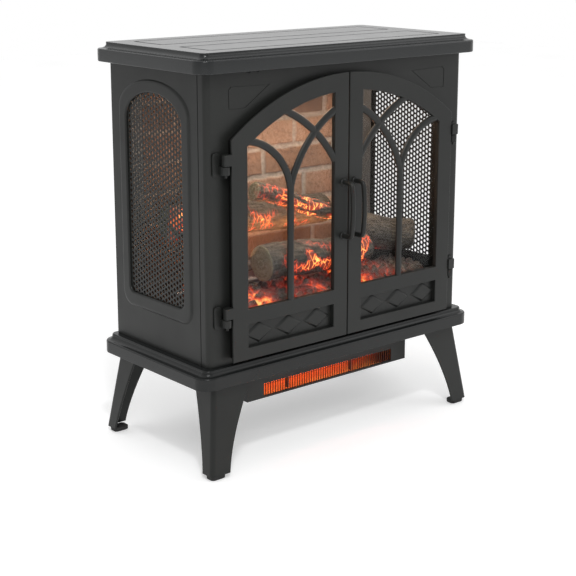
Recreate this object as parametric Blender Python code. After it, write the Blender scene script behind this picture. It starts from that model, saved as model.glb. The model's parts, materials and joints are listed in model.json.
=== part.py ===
"""Freestanding electric stove fireplace: steel cabinet on four splayed legs, a pair of arched glazed
doors, mesh side windows, a log set in front of a brick wall, and a quartz fan heater under the plinth.

Metres, +Z up. The front faces -Y, and X runs to the right as seen from the front. The origin is on the
floor, under the middle of the whole object. Shapes are laid out about the cabinet's own centre line
and ride an empty that shifts them in Y, because the door handles reach further than the rear feet.
"""

import math

import bmesh
import bpy
from mathutils import Matrix, Vector

# Driving dimensions.
CABINET_Y = 0.0105
GAP = 0.0003
SHEET = 0.0014
SKIN = 0.0020
BODY_X = 0.2725
BODY_Y = 0.1263
BODY_BOTTOM = 0.1758
BODY_TOP = 0.6277
CORNER_R = 0.0095
SEAM_Y = -0.1070
LID_X = 0.2940
LID_Y = 0.1465
LID_SLAB_TOP = 0.6485
LID_TOP = 0.6584
LID_STEP = 0.0145
TRIM_CORNER_R = 0.024
PLINTH_X = 0.2960
PLINTH_Y = 0.1440
PLINTH_BOTTOM = 0.1455
PLINTH_SLAB_TOP = 0.1660
PLINTH_STEP = 0.0145
DOOR_X = 0.2369
DOOR_FRONT = -0.1417
DOOR_BACK = -0.1270
DOOR_BOTTOM = 0.1812
DOOR_TOP = 0.6134
ARCH_R = 0.3726
ARCH_Z = DOOR_TOP - ARCH_R
MEETING_GAP = 0.0022
STILE_INNER = 0.0302
STILE_OUTER = 0.2065
RAIL = 0.0290
WINDOW_BOTTOM = 0.2625
PANEL_BOTTOM = 0.2005
PANEL_TOP = 0.2384
FRAME_SKIN = 0.0078
MULLION_X = 0.119
BAR_R = 0.0052
BAR_DEPTH = 0.70
HINGE_X = 0.2452
HINGE_Y = -0.1378
FIREBOX_FLOOR = 0.2050
FIREBOX_BACK = 0.1000
SIDE_WINDOW_Y = (-0.0650, 0.0830)
SIDE_WINDOW_BOTTOM = 0.2580
SIDE_WINDOW_SPRING = 0.5410
SIDE_WINDOW_RISE = 0.0460
LEG_TOP = PLINTH_BOTTOM - GAP
PAD_HEIGHT = 0.0080
HEATER_X = 0.1775
HEATER_FRONT = -0.1000
HEATER_BACK = 0.0620
HEATER_BOTTOM = 0.0923
GRILLE_X = 0.1430
GRILLE_Z = (0.0950, 0.1165)


def clear_scene():
    for old in list(bpy.data.objects):
        bpy.data.objects.remove(old, do_unlink=True)


clear_scene()
parts = bpy.data.collections.new("electric_fireplace")
cutters = bpy.data.collections.new("cutters")
bpy.context.scene.collection.children.link(parts)
bpy.context.scene.collection.children.link(cutters)


def material(name, colour, roughness, metallic=0.0, transmission=0.0):
    made = bpy.data.materials.new(name)
    made.use_nodes = True
    shader = made.node_tree.nodes["Principled BSDF"]
    shader.inputs["Base Color"].default_value = (*colour, 1.0)
    shader.inputs["Roughness"].default_value = roughness
    shader.inputs["Metallic"].default_value = metallic
    shader.inputs["Transmission Weight"].default_value = transmission
    return made


PAINT = material("charcoal_paint", (0.047, 0.049, 0.047), 0.45, 0.3)
GLOSS = material("gloss_trim_paint", (0.050, 0.052, 0.052), 0.25, 0.3)
GLASS = material("door_glass", (0.85, 0.87, 0.87), 0.05, 0.0, 0.9)
BRICK = material("printed_brick", (0.42, 0.24, 0.15), 0.85)
LOG = material("moulded_log", (0.16, 0.12, 0.09), 0.8)
EMBER = material("ember_resin", (0.75, 0.16, 0.03), 0.5)
STEEL = material("zinc_steel", (0.55, 0.56, 0.57), 0.35, 0.9)
QUARTZ = material("quartz_tube", (0.95, 0.35, 0.12), 0.2)
MIRROR = material("reflector_aluminium", (0.8, 0.8, 0.8), 0.15, 1.0)
PLASTIC = material("black_plastic", (0.02, 0.02, 0.02), 0.5)
BOARD = material("circuit_board", (0.05, 0.22, 0.10), 0.5)


# Frames that the pieces ride on.
def empty(name, location, parent=None):
    made = bpy.data.objects.new(name, None)
    made.location = location
    made.parent = parent
    parts.objects.link(made)
    return made


stove = empty("stove_axis", (0.0, CABINET_Y, 0.0))


def ride(obj, axis):
    """Hangs an object on an empty; the mesh keeps its place in the cabinet's coordinates."""
    obj.parent = axis
    if axis is not stove:
        obj.matrix_parent_inverse = Matrix.Translation(-axis.location)


# Modelling tools.
def keep(name, mesh, finish, axis=None, collection=None):
    made = bpy.data.objects.new(name, mesh)
    (collection or parts).objects.link(made)
    if finish:
        mesh.materials.append(finish)
    ride(made, axis or stove)
    return made


def helper(obj):
    """Marks an object as a cutter or a joined-in body that isn't a piece of its own."""
    obj.hide_render = True
    obj.display_type = "WIRE"
    return obj


def finish_mesh(work, name, smooth_angle=None):
    bmesh.ops.recalc_face_normals(work, faces=work.faces)
    mesh = bpy.data.meshes.new(name)
    work.to_mesh(mesh)
    work.free()
    if smooth_angle:
        mesh.shade_smooth()
        mesh.set_sharp_from_angle(angle=math.radians(smooth_angle))
    return mesh


def box(name, low, high, finish, axis=None, collection=None):
    work = bmesh.new()
    bmesh.ops.create_cube(work, size=1.0)
    low, high = Vector(low), Vector(high)
    bmesh.ops.scale(work, vec=high - low, verts=work.verts)
    bmesh.ops.translate(work, vec=(low + high) / 2, verts=work.verts)
    return keep(name, finish_mesh(work, name), finish, axis, collection)


def rod(name, start, end, radius, finish, axis=None, collection=None, sides=20, end_radius=None):
    start, end = Vector(start), Vector(end)
    work = bmesh.new()
    bmesh.ops.create_cone(
        work,
        cap_ends=True,
        segments=sides,
        radius1=radius,
        radius2=radius if end_radius is None else end_radius,
        depth=(end - start).length,
    )
    turn = (end - start).to_track_quat("Z", "Y").to_matrix().to_4x4()
    bmesh.ops.transform(work, matrix=Matrix.Translation((start + end) / 2) @ turn, verts=work.verts)
    return keep(name, finish_mesh(work, name, 40), finish, axis, collection)


def mesh_of_curve(curve, name, placing):
    """The curve's evaluated shape as a welded mesh, moved by a matrix."""
    source = bpy.data.objects.new(name + "_curve", curve)
    parts.objects.link(source)
    bpy.context.view_layer.update()
    mesh = bpy.data.meshes.new_from_object(source.evaluated_get(bpy.context.evaluated_depsgraph_get()))
    bpy.data.objects.remove(source)
    work = bmesh.new()
    work.from_mesh(mesh)
    bpy.data.meshes.remove(mesh)
    bmesh.ops.remove_doubles(work, verts=work.verts, dist=0.00002)
    bmesh.ops.transform(work, matrix=placing, verts=work.verts)
    return finish_mesh(work, name, 35)


PLANES = {
    "XY": Matrix.Identity(4),
    "XZ": Matrix(((1, 0, 0, 0), (0, 0, 1, 0), (0, 1, 0, 0), (0, 0, 0, 1))),
    "YZ": Matrix(((0, 0, 1, 0), (1, 0, 0, 0), (0, 1, 0, 0), (0, 0, 0, 1))),
}


def plate(name, plane, loops, span, finish, axis=None, collection=None):
    """A flat outline, with holes for any further loops, thick from span[0] to span[1] across its plane."""
    curve = bpy.data.curves.new(name, "CURVE")
    curve.dimensions = "2D"
    curve.fill_mode = "BOTH"
    curve.extrude = abs(span[1] - span[0]) / 2
    for loop in loops:
        spline = curve.splines.new("POLY")
        spline.points.add(len(loop) - 1)
        for point, (u, v) in zip(spline.points, loop):
            point.co = (u, v, 0.0, 1.0)
        spline.use_cyclic_u = True
    lift = Matrix.Translation((0.0, 0.0, (span[0] + span[1]) / 2))
    return keep(name, mesh_of_curve(curve, name, PLANES[plane] @ lift), finish, axis, collection)


def tube(name, points, radius, finish, axis=None, collection=None, resolution=3):
    curve = bpy.data.curves.new(name, "CURVE")
    curve.dimensions = "3D"
    curve.bevel_depth = radius
    curve.bevel_resolution = resolution
    curve.use_fill_caps = True
    spline = curve.splines.new("POLY")
    spline.points.add(len(points) - 1)
    for point, place in zip(spline.points, points):
        point.co = (*place, 1.0)
    return keep(name, mesh_of_curve(curve, name, Matrix.Identity(4)), finish, axis, collection)


def stack(name, sections, finish):
    """Rounded rectangles of (half x, half y, corner radius, z), bridged from the bottom up and capped."""
    work = bmesh.new()
    rings = []
    for half_x, half_y, radius, z in sections:
        ring = [work.verts.new((x, y, z)) for x, y in rounded_rectangle(half_x, half_y, radius)]
        rings.append([work.edges.new((a, b)) for a, b in zip(ring, ring[1:] + ring[:1])])
    for lower, upper in zip(rings, rings[1:]):
        bmesh.ops.bridge_loops(work, edges=lower + upper)
    for ring in (rings[0], rings[-1]):
        bmesh.ops.contextual_create(work, geom=ring)
    return keep(name, finish_mesh(work, name, 35), finish)


def combine(target, other, operation):
    step = target.modifiers.new(operation.title(), "BOOLEAN")
    step.operation = operation
    step.solver = "EXACT"
    step.object = helper(other)
    return target


def cut(target, other):
    return combine(target, other, "DIFFERENCE")


def fuse(target, other):
    return combine(target, other, "UNION")


# Outlines.
def arc(centre, radius, start, end, count):
    """Points on a circle from angle start to angle end, in degrees, both included."""
    angles = [math.radians(start + (end - start) * i / (count - 1)) for i in range(count)]
    return [(centre[0] + radius * math.cos(a), centre[1] + radius * math.sin(a)) for a in angles]


def rounded_rectangle(half_u, half_v, radius, count=6, centre=(0.0, 0.0)):
    points = []
    for sign_u, sign_v, start in ((1, 1, 0), (-1, 1, 90), (-1, -1, 180), (1, -1, 270)):
        corner = (centre[0] + sign_u * (half_u - radius), centre[1] + sign_v * (half_v - radius))
        points += arc(corner, radius, start, start + 90, count)
    return points


def rectangle(u, v):
    return [(u[0], v[0]), (u[1], v[0]), (u[1], v[1]), (u[0], v[1])]


def under_arch(inner, outer, bottom, radius, count=9):
    """Outline of one door leaf's field: flat below, bounded above by the arch that both leaves share."""
    start = math.degrees(math.acos(inner / radius))
    end = math.degrees(math.acos(outer / radius))
    return [(outer, bottom), *reversed(arc((0.0, ARCH_Z), radius, start, end, count)), (inner, bottom)]


def tombstone(low_y, high_y, bottom, spring, rise, radius, count=15):
    """A window outline with rounded bottom corners and a flat elliptical arch on top."""
    middle, half = (low_y + high_y) / 2, (high_y - low_y) / 2
    top = [(middle + half * x, spring + rise * z) for x, z in arc((0.0, 0.0), 1.0, 0, 180, count)]
    left = arc((low_y + radius, bottom + radius), radius, 180, 270, 5)
    right = arc((high_y - radius, bottom + radius), radius, 270, 360, 5)
    return top + left + right


def mirrored(points, side):
    """Right-hand points for side 1, and their mirror image for side -1."""
    return [(side * point[0], *point[1:]) for point in points]


# Cabinet.
def make_lid():
    lid = stack(
        "top_lid",
        (
            (LID_X - 0.0015, LID_Y - 0.0015, TRIM_CORNER_R - 0.0015, BODY_TOP + GAP),
            (LID_X, LID_Y, TRIM_CORNER_R, BODY_TOP + 0.0018),
            (LID_X, LID_Y, TRIM_CORNER_R, LID_SLAB_TOP - 0.0018),
            (LID_X - 0.0018, LID_Y - 0.0018, TRIM_CORNER_R - 0.0018, LID_SLAB_TOP),
            (LID_X - 0.0090, LID_Y - 0.0090, TRIM_CORNER_R - 0.0090, LID_SLAB_TOP + 0.0025),
            (LID_X - LID_STEP, LID_Y - LID_STEP, 0.0080, LID_TOP - 0.0012),
            (LID_X - LID_STEP - 0.0012, LID_Y - LID_STEP - 0.0012, 0.0068, LID_TOP),
        ),
        GLOSS,
    )
    moat = rounded_rectangle(LID_X - SKIN, LID_Y - SKIN, TRIM_CORNER_R - SKIN)
    seat = rounded_rectangle(BODY_X + SKIN / 2, BODY_Y + SKIN / 2, CORNER_R)
    below = BODY_TOP - 0.01
    cut(lid, plate("lid_rim_hollow", "XY", (moat, seat), (below, LID_SLAB_TOP - SKIN), None, None, cutters))
    inside = (BODY_X - 2 * SKIN, BODY_Y - 2 * SKIN)
    low, high = (-inside[0], -inside[1], below), (*inside, LID_TOP - 2 * SKIN)
    cut(lid, box("lid_hollow", low, high, None, None, cutters))
    groove, groove_depth, groove_corner = 0.0040, 0.0016, 0.0045
    for index, y in enumerate((-0.0620, 0.0620)):
        outline = rounded_rectangle(0.2450, 0.0400, groove_corner, 3, (0.0, y))
        inner = rounded_rectangle(0.2450 - groove, 0.0400 - groove, groove_corner - groove, 3, (0.0, y))
        name = f"lid_groove_{index}"
        span = (LID_TOP - groove_depth, LID_TOP + 0.002)
        cut(lid, plate(name, "XY", (outline, inner), span, None, None, cutters))


def make_plinth():
    plinth = stack(
        "plinth",
        (
            (PLINTH_X - 0.0012, PLINTH_Y - 0.0012, TRIM_CORNER_R - 0.0012, PLINTH_BOTTOM),
            (PLINTH_X, PLINTH_Y, TRIM_CORNER_R, PLINTH_BOTTOM + 0.0012),
            (PLINTH_X, PLINTH_Y, TRIM_CORNER_R, PLINTH_SLAB_TOP - 0.0018),
            (PLINTH_X - 0.0018, PLINTH_Y - 0.0018, TRIM_CORNER_R - 0.0018, PLINTH_SLAB_TOP),
            (PLINTH_X - 0.0090, PLINTH_Y - 0.0090, TRIM_CORNER_R - 0.0090, PLINTH_SLAB_TOP + 0.0022),
            (PLINTH_X - PLINTH_STEP, PLINTH_Y - PLINTH_STEP + 0.004, 0.0080, BODY_BOTTOM - GAP),
        ),
        GLOSS,
    )
    inside = (BODY_X - 2 * SKIN, BODY_Y - 2 * SKIN)
    low, high = (-inside[0], -inside[1], PLINTH_BOTTOM + SKIN), (*inside, BODY_BOTTOM + 0.01)
    cut(plinth, box("plinth_hollow", low, high, None, None, cutters))
    moat = rounded_rectangle(PLINTH_X - SKIN, PLINTH_Y - SKIN, TRIM_CORNER_R - SKIN)
    seat = rounded_rectangle(BODY_X + SKIN / 2, BODY_Y + SKIN / 2, CORNER_R)
    span = (PLINTH_BOTTOM - 0.01, PLINTH_SLAB_TOP - SKIN)
    cut(plinth, plate("plinth_rim_hollow", "XY", (moat, seat), span, None, None, cutters))


def make_fascia():
    """Front sheet that wraps round both front corners, with the arched opening behind the doors."""
    outer, inner = CORNER_R, CORNER_R - SHEET
    centre_y = -BODY_Y + outer
    outline = [(-BODY_X, SEAM_Y)]
    for side, start in ((-1, 180), (1, 270)):
        outline += arc((side * (BODY_X - outer), centre_y), outer, start, start + 90, 6)
    outline += [(BODY_X, SEAM_Y), (BODY_X - SHEET, SEAM_Y)]
    for side, start in ((1, 360), (-1, 270)):
        outline += arc((side * (BODY_X - outer), centre_y), inner, start, start - 90, 6)
    outline.append((-BODY_X + SHEET, SEAM_Y))
    fascia = plate("front_fascia", "XY", (outline,), (BODY_BOTTOM, BODY_TOP), PAINT)
    half, bottom, radius = 0.2200, 0.1960, ARCH_R - 0.0160
    end = math.degrees(math.acos(half / radius))
    opening = [(-half, bottom), (half, bottom), *arc((0.0, ARCH_Z), radius, end, 180 - end, 17)]
    cut(fascia, plate("fascia_opening", "XZ", (opening,), (-0.14, -0.11), None, None, cutters))


def make_sides():
    low_y, high_y = SIDE_WINDOW_Y
    window = tombstone(low_y, high_y, SIDE_WINDOW_BOTTOM, SIDE_WINDOW_SPRING, SIDE_WINDOW_RISE, 0.012)
    border = 0.012
    backing = tombstone(
        low_y - border,
        high_y + border,
        SIDE_WINDOW_BOTTOM - border,
        SIDE_WINDOW_SPRING,
        SIDE_WINDOW_RISE + border,
        0.022,
    )
    lip = 0.0045
    rim_outline = tombstone(
        low_y - SHEET,
        high_y + SHEET,
        SIDE_WINDOW_BOTTOM - SHEET,
        SIDE_WINDOW_SPRING,
        SIDE_WINDOW_RISE + SHEET,
        0.012 + SHEET,
    )
    for side, word in ((-1, "left"), (1, "right")):
        skin = sorted((side * (BODY_X - SHEET), side * BODY_X))
        sheet = rectangle((SEAM_Y + GAP, BODY_Y), (BODY_BOTTOM, BODY_TOP))
        panel = plate(f"{word}_side_panel", "YZ", (sheet, window), skin, PAINT)
        rim_span = sorted((side * (BODY_X - SHEET - lip), side * (BODY_X - SHEET / 2)))
        rim = plate(f"{word}_window_rim", "YZ", (rim_outline, window), rim_span, None, None, cutters)
        fuse(panel, rim)
        mesh_x = BODY_X - SHEET - lip - GAP
        mesh_span = sorted((side * (mesh_x - 0.001), side * mesh_x))
        plate(f"{word}_mesh_screen", "YZ", (backing,), mesh_span, PAINT)


def make_back():
    sheet = rectangle((-BODY_X + SHEET + GAP, BODY_X - SHEET - GAP), (BODY_BOTTOM, BODY_TOP))
    panel_hole = rectangle((0.150, 0.215), (0.470, 0.580))
    inlet_hole = arc((-0.190, 0.215), 0.0085, 0, 337.5, 16)
    plate("back_panel", "XZ", (sheet, panel_hole, inlet_hole), (BODY_Y - SHEET, BODY_Y), PAINT)


def splay(obj, axis_index, slope, pivot):
    """Leans a leg's face outwards: the coordinate grows by slope for each metre below the pivot height."""
    lean = Matrix.Identity(4)
    lean[axis_index][2] = -slope
    lean[axis_index][3] = slope * pivot
    obj.data.transform(lean)


def make_leg(name, side_x, side_y):
    """A pressed angle leg: a wide face with a hollow curved inner edge and a narrow side face."""
    top, foot = (0.268, 0.130), (0.287, 0.1495)
    wide_foot, wide_flare = 0.0370, 0.0385
    narrow_foot, narrow_flare = 0.0260, 0.0235
    low = PAD_HEIGHT + GAP
    fall = LEG_TOP - low
    slope = ((foot[0] - top[0]) / fall, (foot[1] - top[1]) / fall)
    steps = 9
    wide = [(top[0], LEG_TOP), (foot[0], low)]
    narrow = [(top[1], LEG_TOP), (foot[1], low)]
    for i in range(steps):
        t = i / (steps - 1)
        corner_x = foot[0] + (top[0] - foot[0]) * t
        corner_y = foot[1] + (top[1] - foot[1]) * t
        wide.append((corner_x - wide_foot - wide_flare * t**1.7, low + fall * t))
        narrow.append((corner_y - narrow_foot - narrow_flare * t**1.5, low + fall * t))
    thick = 0.004
    face_span = sorted((side_y * top[1], side_y * (top[1] - thick)))
    face = plate(name, "XZ", (mirrored(wide, side_x),), face_span, PAINT)
    splay(face, 1, side_y * slope[1], LEG_TOP)
    flank_span = sorted((side_x * top[0], side_x * (top[0] - thick)))
    flank = plate(name + "_flank", "YZ", (mirrored(narrow, side_y),), flank_span, None, None, cutters)
    splay(flank, 0, side_x * slope[0], LEG_TOP)
    fuse(face, flank)


def make_legs():
    for side_y, row in ((-1, "front"), (1, "rear")):
        for side_x, word in ((-1, "left"), (1, "right")):
            make_leg(f"{row}_{word}_leg", side_x, side_y)
            centre = (side_x * 0.2675, side_y * 0.1337)
            outline = rounded_rectangle(0.0178, 0.0136, 0.005, 4, centre)
            plate(f"{row}_{word}_foot_pad", "XY", (outline,), (0.0, PAD_HEIGHT), PLASTIC)


# Doors and their hinges.
def make_door(side, word):
    axis = empty(f"{word}_door_axis", (side * HINGE_X, HINGE_Y, 0.0), stove)
    inner_edge = MEETING_GAP / 2
    outline = mirrored(under_arch(inner_edge, DOOR_X, DOOR_BOTTOM, ARCH_R, 13), side)
    window = mirrored(under_arch(STILE_INNER, STILE_OUTER, WINDOW_BOTTOM, ARCH_R - RAIL, 9), side)
    panel = mirrored(rectangle((STILE_INNER, STILE_OUTER), (PANEL_BOTTOM, PANEL_TOP)), side)
    skin = (DOOR_FRONT, DOOR_FRONT + FRAME_SKIN)
    frame = plate(f"{word}_door_frame", "XZ", (outline, window, panel), skin, PAINT, axis)
    wall = 0.006
    rim = mirrored(under_arch(inner_edge + wall, DOOR_X - wall, DOOR_BOTTOM + wall, ARCH_R - wall, 13), side)
    rim_span = (DOOR_FRONT + FRAME_SKIN / 2, DOOR_BACK)
    fuse(frame, plate(f"{word}_door_rim", "XZ", (outline, rim), rim_span, None, axis, cutters))
    bar_y = DOOR_FRONT + FRAME_SKIN / 2
    mullion = ((MULLION_X, WINDOW_BOTTOM - 0.004), (MULLION_X, 0.4480))
    outer = arc((0.2160, 0.4260), 0.0980, 172, 99, 9)
    inner = arc((-0.0600, 0.3900), 0.1870, 17, 62.5, 8)
    crossing = arc((0.2145, 0.3610), 0.2190, 148.5, 112, 8)
    for index, path in enumerate((mullion, outer, inner, crossing)):
        points = [(side * x, 0.0, z) for x, z in path]
        bar = tube(f"{word}_tracery_bar_{index}", points, BAR_R, None, axis, cutters)
        bar.data.transform(Matrix.Translation((0.0, bar_y, 0.0)) @ Matrix.Diagonal((1.0, BAR_DEPTH, 1.0, 1.0)))
        fuse(frame, bar)

    border = 0.008
    pane_y = DOOR_FRONT + FRAME_SKIN + GAP
    field = (STILE_INNER - border, STILE_OUTER + border, WINDOW_BOTTOM - border)
    pane = under_arch(*field, ARCH_R - RAIL + border)
    plate(f"{word}_door_glass", "XZ", (mirrored(pane, side),), (pane_y, pane_y + 0.003), GLASS, axis)
    field = ((STILE_INNER - border, STILE_OUTER + border), (PANEL_BOTTOM - border, PANEL_TOP + border))
    kick = mirrored(rectangle(*field), side)
    plate(f"{word}_door_kick_panel", "XZ", (kick,), (pane_y, pane_y + 0.0025), PAINT, axis)

    centre_z, half_z, reach = 0.394, 0.044, 0.0220
    x = side * 0.0125
    foot_y = DOOR_FRONT - GAP
    bow = [(x, foot_y, centre_z + half_z), (x, foot_y - reach + 0.006, centre_z + half_z)]
    for i in range(9):
        t = -1 + i / 4
        bow.append((x, foot_y - reach - 0.0025 * (1 - t * t), centre_z - half_z * t * 0.97))
    bow += [(x, foot_y - reach + 0.006, centre_z - half_z), (x, foot_y, centre_z - half_z)]
    tube(f"{word}_door_handle", bow, 0.0040, PAINT, axis, None, 2)

    for row, knuckle_bottom in (("upper", 0.4760), ("lower", 0.2391)):
        make_hinge(side, word, row, knuckle_bottom, axis)


def make_hinge(side, word, row, bottom, axis):
    """A lift-off hinge: a bracket with a fixed knuckle and pin, and the block that turns on it."""
    x, y = side * HINGE_X, HINGE_Y
    barrel = 0.0062
    knuckle_top = bottom + 0.0130
    block_bottom = knuckle_top + 0.0008
    block_top = block_bottom + 0.0175
    face = -BODY_Y - GAP
    leaf = 0.0030
    plate_x = sorted((side * (HINGE_X + 0.0050), side * (BODY_X - CORNER_R)))
    low, high = (plate_x[0], face - leaf, bottom - 0.002), (plate_x[1], face, block_top + 0.002)
    bracket = box(f"{word}_{row}_hinge_bracket", low, high, PAINT)
    name = f"{word}_{row}_hinge"
    arm_x = sorted((side * (HINGE_X - 0.0045), side * (HINGE_X + 0.0070)))
    arm = ((arm_x[0], y, bottom), (arm_x[1], face - leaf / 3, knuckle_top))
    fuse(bracket, box(name + "_arm", *arm, None, None, cutters))
    knuckle = ((x, y, bottom), (x, y, knuckle_top))
    fuse(bracket, rod(name + "_knuckle", *knuckle, barrel, None, None, cutters, 16))
    pin = ((x, y, bottom - 0.0045), (x, y, block_top - 0.004))
    fuse(bracket, rod(name + "_pin", *pin, 0.0022, None, None, cutters, 12))

    edge, chamfer = DOOR_X + GAP, 0.0012
    outline = [(edge, y + barrel), *arc((HINGE_X, y), barrel, 90, 0, 6)]
    outline += [(HINGE_X + barrel, y - barrel + chamfer), (HINGE_X + barrel - chamfer, y - barrel)]
    outline = mirrored([*outline, (edge, y - barrel)], side)
    span = (block_bottom, block_top)
    block = plate(f"{word}_{row}_hinge_block", "XY", (outline,), span, PAINT, axis)
    bore = ((x, y, block_bottom - 0.002), (x, y, block_top - 0.003))
    cut(block, rod(name + "_bore", *bore, 0.0025, None, axis, cutters, 12))


# Firebox.
def make_firebox():
    half_x = BODY_X - 0.0095
    box(
        "brick_back_wall",
        (-half_x, FIREBOX_BACK, FIREBOX_FLOOR + 0.0035),
        (half_x, FIREBOX_BACK + 0.004, 0.6050),
        BRICK,
    )
    box(
        "firebox_floor",
        (-half_x, -BODY_Y + 0.006, FIREBOX_FLOOR),
        (half_x, FIREBOX_BACK + 0.004, FIREBOX_FLOOR + 0.003),
        PAINT,
    )
    box(
        "firebox_ceiling",
        (-half_x, -BODY_Y + 0.006, 0.6060),
        (half_x, FIREBOX_BACK + 0.004, 0.6080),
        PAINT,
    )
    low, high = FIREBOX_FLOOR + 0.0035, 0.2620
    crest = [(0.020, 0.2480), (-0.020, high), (-0.080, high - 0.004), (-0.112, 0.2400)]
    ridge = [(-0.112, low), (0.020, low), *crest]
    bed = plate("ember_bed", "YZ", (ridge,), (-0.245, 0.245), EMBER)
    low_hollow, high_hollow = (-0.242, -0.109, low - 0.01), (0.242, 0.017, 0.2370)
    cut(bed, box("ember_hollow", low_hollow, high_hollow, None, None, cutters))
    logs = (
        ("log_front", (-0.105, -0.048, 0.3000), (0.110, -0.060, 0.2980), 0.0340),
        ("log_left", (-0.232, -0.060, 0.3010), (-0.150, 0.012, 0.3060), 0.0360),
        ("log_right", (0.130, 0.006, 0.3160), (0.235, -0.050, 0.3000), 0.0350),
        ("log_rear", (-0.215, 0.056, 0.3650), (0.120, 0.060, 0.3450), 0.0330),
        ("log_branch", (-0.085, -0.004, 0.4120), (0.085, -0.024, 0.3540), 0.0180),
    )
    for name, start, end, radius in logs:
        rod(name, start, end, radius, LOG, sides=14, end_radius=radius * 0.86)


def make_flame_effect():
    y, z = 0.062, 0.2420
    axis = empty("flame_spindle_axis", (0.0, y, z), stove)
    spindle = rod("flame_spindle", (-0.200, y, z), (0.190, y, z), 0.0030, MIRROR, axis, None, 10)
    blade = 0.0140
    for index in range(4):
        centre = -0.150 + 0.095 * index
        for turn in (0, 1):
            across = (blade, 0.0008) if (index + turn) % 2 else (0.0008, blade)
            low = (centre - 0.038, y - across[0], z - across[1])
            high = (centre + 0.038, y + across[0], z + across[1])
            fuse(spindle, box(f"spindle_blade_{index}_{turn}", low, high, None, axis, cutters))
    motor = rod("flame_motor", (0.1985, y, z), (0.222, y, z), 0.0190, STEEL)
    cut(motor, rod("motor_shaft_clearance", (0.18, y, z), (0.21, y, z), 0.0034, None, None, cutters, 12))
    box("led_board", (-0.200, 0.024, 0.2100), (0.200, 0.040, 0.2140), BOARD)


# Heater.
def make_heater():
    wall = 0.0015
    top = PLINTH_BOTTOM - GAP
    low, high = (-HEATER_X, HEATER_FRONT, HEATER_BOTTOM), (HEATER_X, HEATER_BACK, top)
    housing = box("heater_housing", low, high, PAINT)
    low = (-HEATER_X + wall, HEATER_FRONT + wall, HEATER_BOTTOM + wall)
    high = (HEATER_X - wall, HEATER_BACK - wall, top + 0.01)
    cut(housing, box("heater_hollow", low, high, None, None, cutters))
    low = (-GRILLE_X, HEATER_FRONT - 0.01, GRILLE_Z[0])
    high = (GRILLE_X, HEATER_FRONT + 0.01, GRILLE_Z[1])
    cut(housing, box("heater_mouth", low, high, None, None, cutters))
    low, high = (-0.120, HEATER_BACK - 0.01, 0.1050), (0.120, HEATER_BACK + 0.01, 0.1330)
    cut(housing, box("heater_intake", low, high, None, None, cutters))

    y = HEATER_FRONT + wall + GAP
    rail = 0.0035
    grille_low, grille_high = GRILLE_Z[0] - rail, GRILLE_Z[1] + rail
    loops = [rectangle((-GRILLE_X - rail, GRILLE_X + rail), (HEATER_BOTTOM + wall + GAP, grille_high))]
    slots = 22
    pitch = 2 * GRILLE_X / slots
    for index in range(slots):
        start = -GRILLE_X + pitch * index + pitch * 0.2
        loops.append(rectangle((start, start + pitch * 0.6), (grille_low + rail + 0.001, grille_high - rail)))
    plate("heater_grille", "XZ", loops, (y, y + 0.0015), PAINT)

    tube_z = 0.1120
    for row, tube_y in (("front", -0.074), ("rear", -0.056)):
        rod(f"{row}_quartz_tube", (-0.150, tube_y, tube_z), (0.150, tube_y, tube_z), 0.0055, QUARTZ, sides=12)
    hood = [(-0.092, tube_z + 0.018), *arc((-0.054, tube_z), 0.018, 90, -80, 9)]
    lining = [*arc((-0.054, tube_z), 0.0166, -80, 90, 9), (-0.092, tube_z + 0.0166)]
    plate("heater_reflector", "YZ", (hood + lining,), (-0.158, 0.158), MIRROR)

    axis_y, axis_z = 0.020, 0.1180
    axis = empty("blower_axis", (0.0, axis_y, axis_z), stove)
    rim, vane = 0.0190, 0.0030
    wheel = rod("blower_wheel", (-0.128, axis_y, axis_z), (-0.125, axis_y, axis_z), rim, PLASTIC, axis)
    disc = ((0.117, axis_y, axis_z), (0.120, axis_y, axis_z))
    fuse(wheel, rod("blower_end_disc", *disc, rim, None, axis, cutters))
    shaft = ((-0.134, axis_y, axis_z), (0.1300, axis_y, axis_z))
    fuse(wheel, rod("blower_shaft", *shaft, 0.0025, None, axis, cutters, 10))
    vanes = 10
    for index in range(vanes):
        angle = 2 * math.pi * index / vanes
        radius = rim - vane
        y, z = axis_y + radius * math.cos(angle), axis_z + radius * math.sin(angle)
        low, high = (-0.126, y - vane / 2, z - vane / 2), (0.118, y + vane / 2, z + vane / 2)
        fuse(wheel, box(f"blower_vane_{index}", low, high, None, axis, cutters))
    motor = rod("blower_motor", (0.1275, axis_y, axis_z), (0.165, axis_y, axis_z), 0.0200, STEEL)
    shaft = ((0.12, axis_y, axis_z), (0.14, axis_y, axis_z))
    cut(motor, rod("blower_shaft_clearance", *shaft, 0.0029, None, None, cutters, 12))


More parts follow.
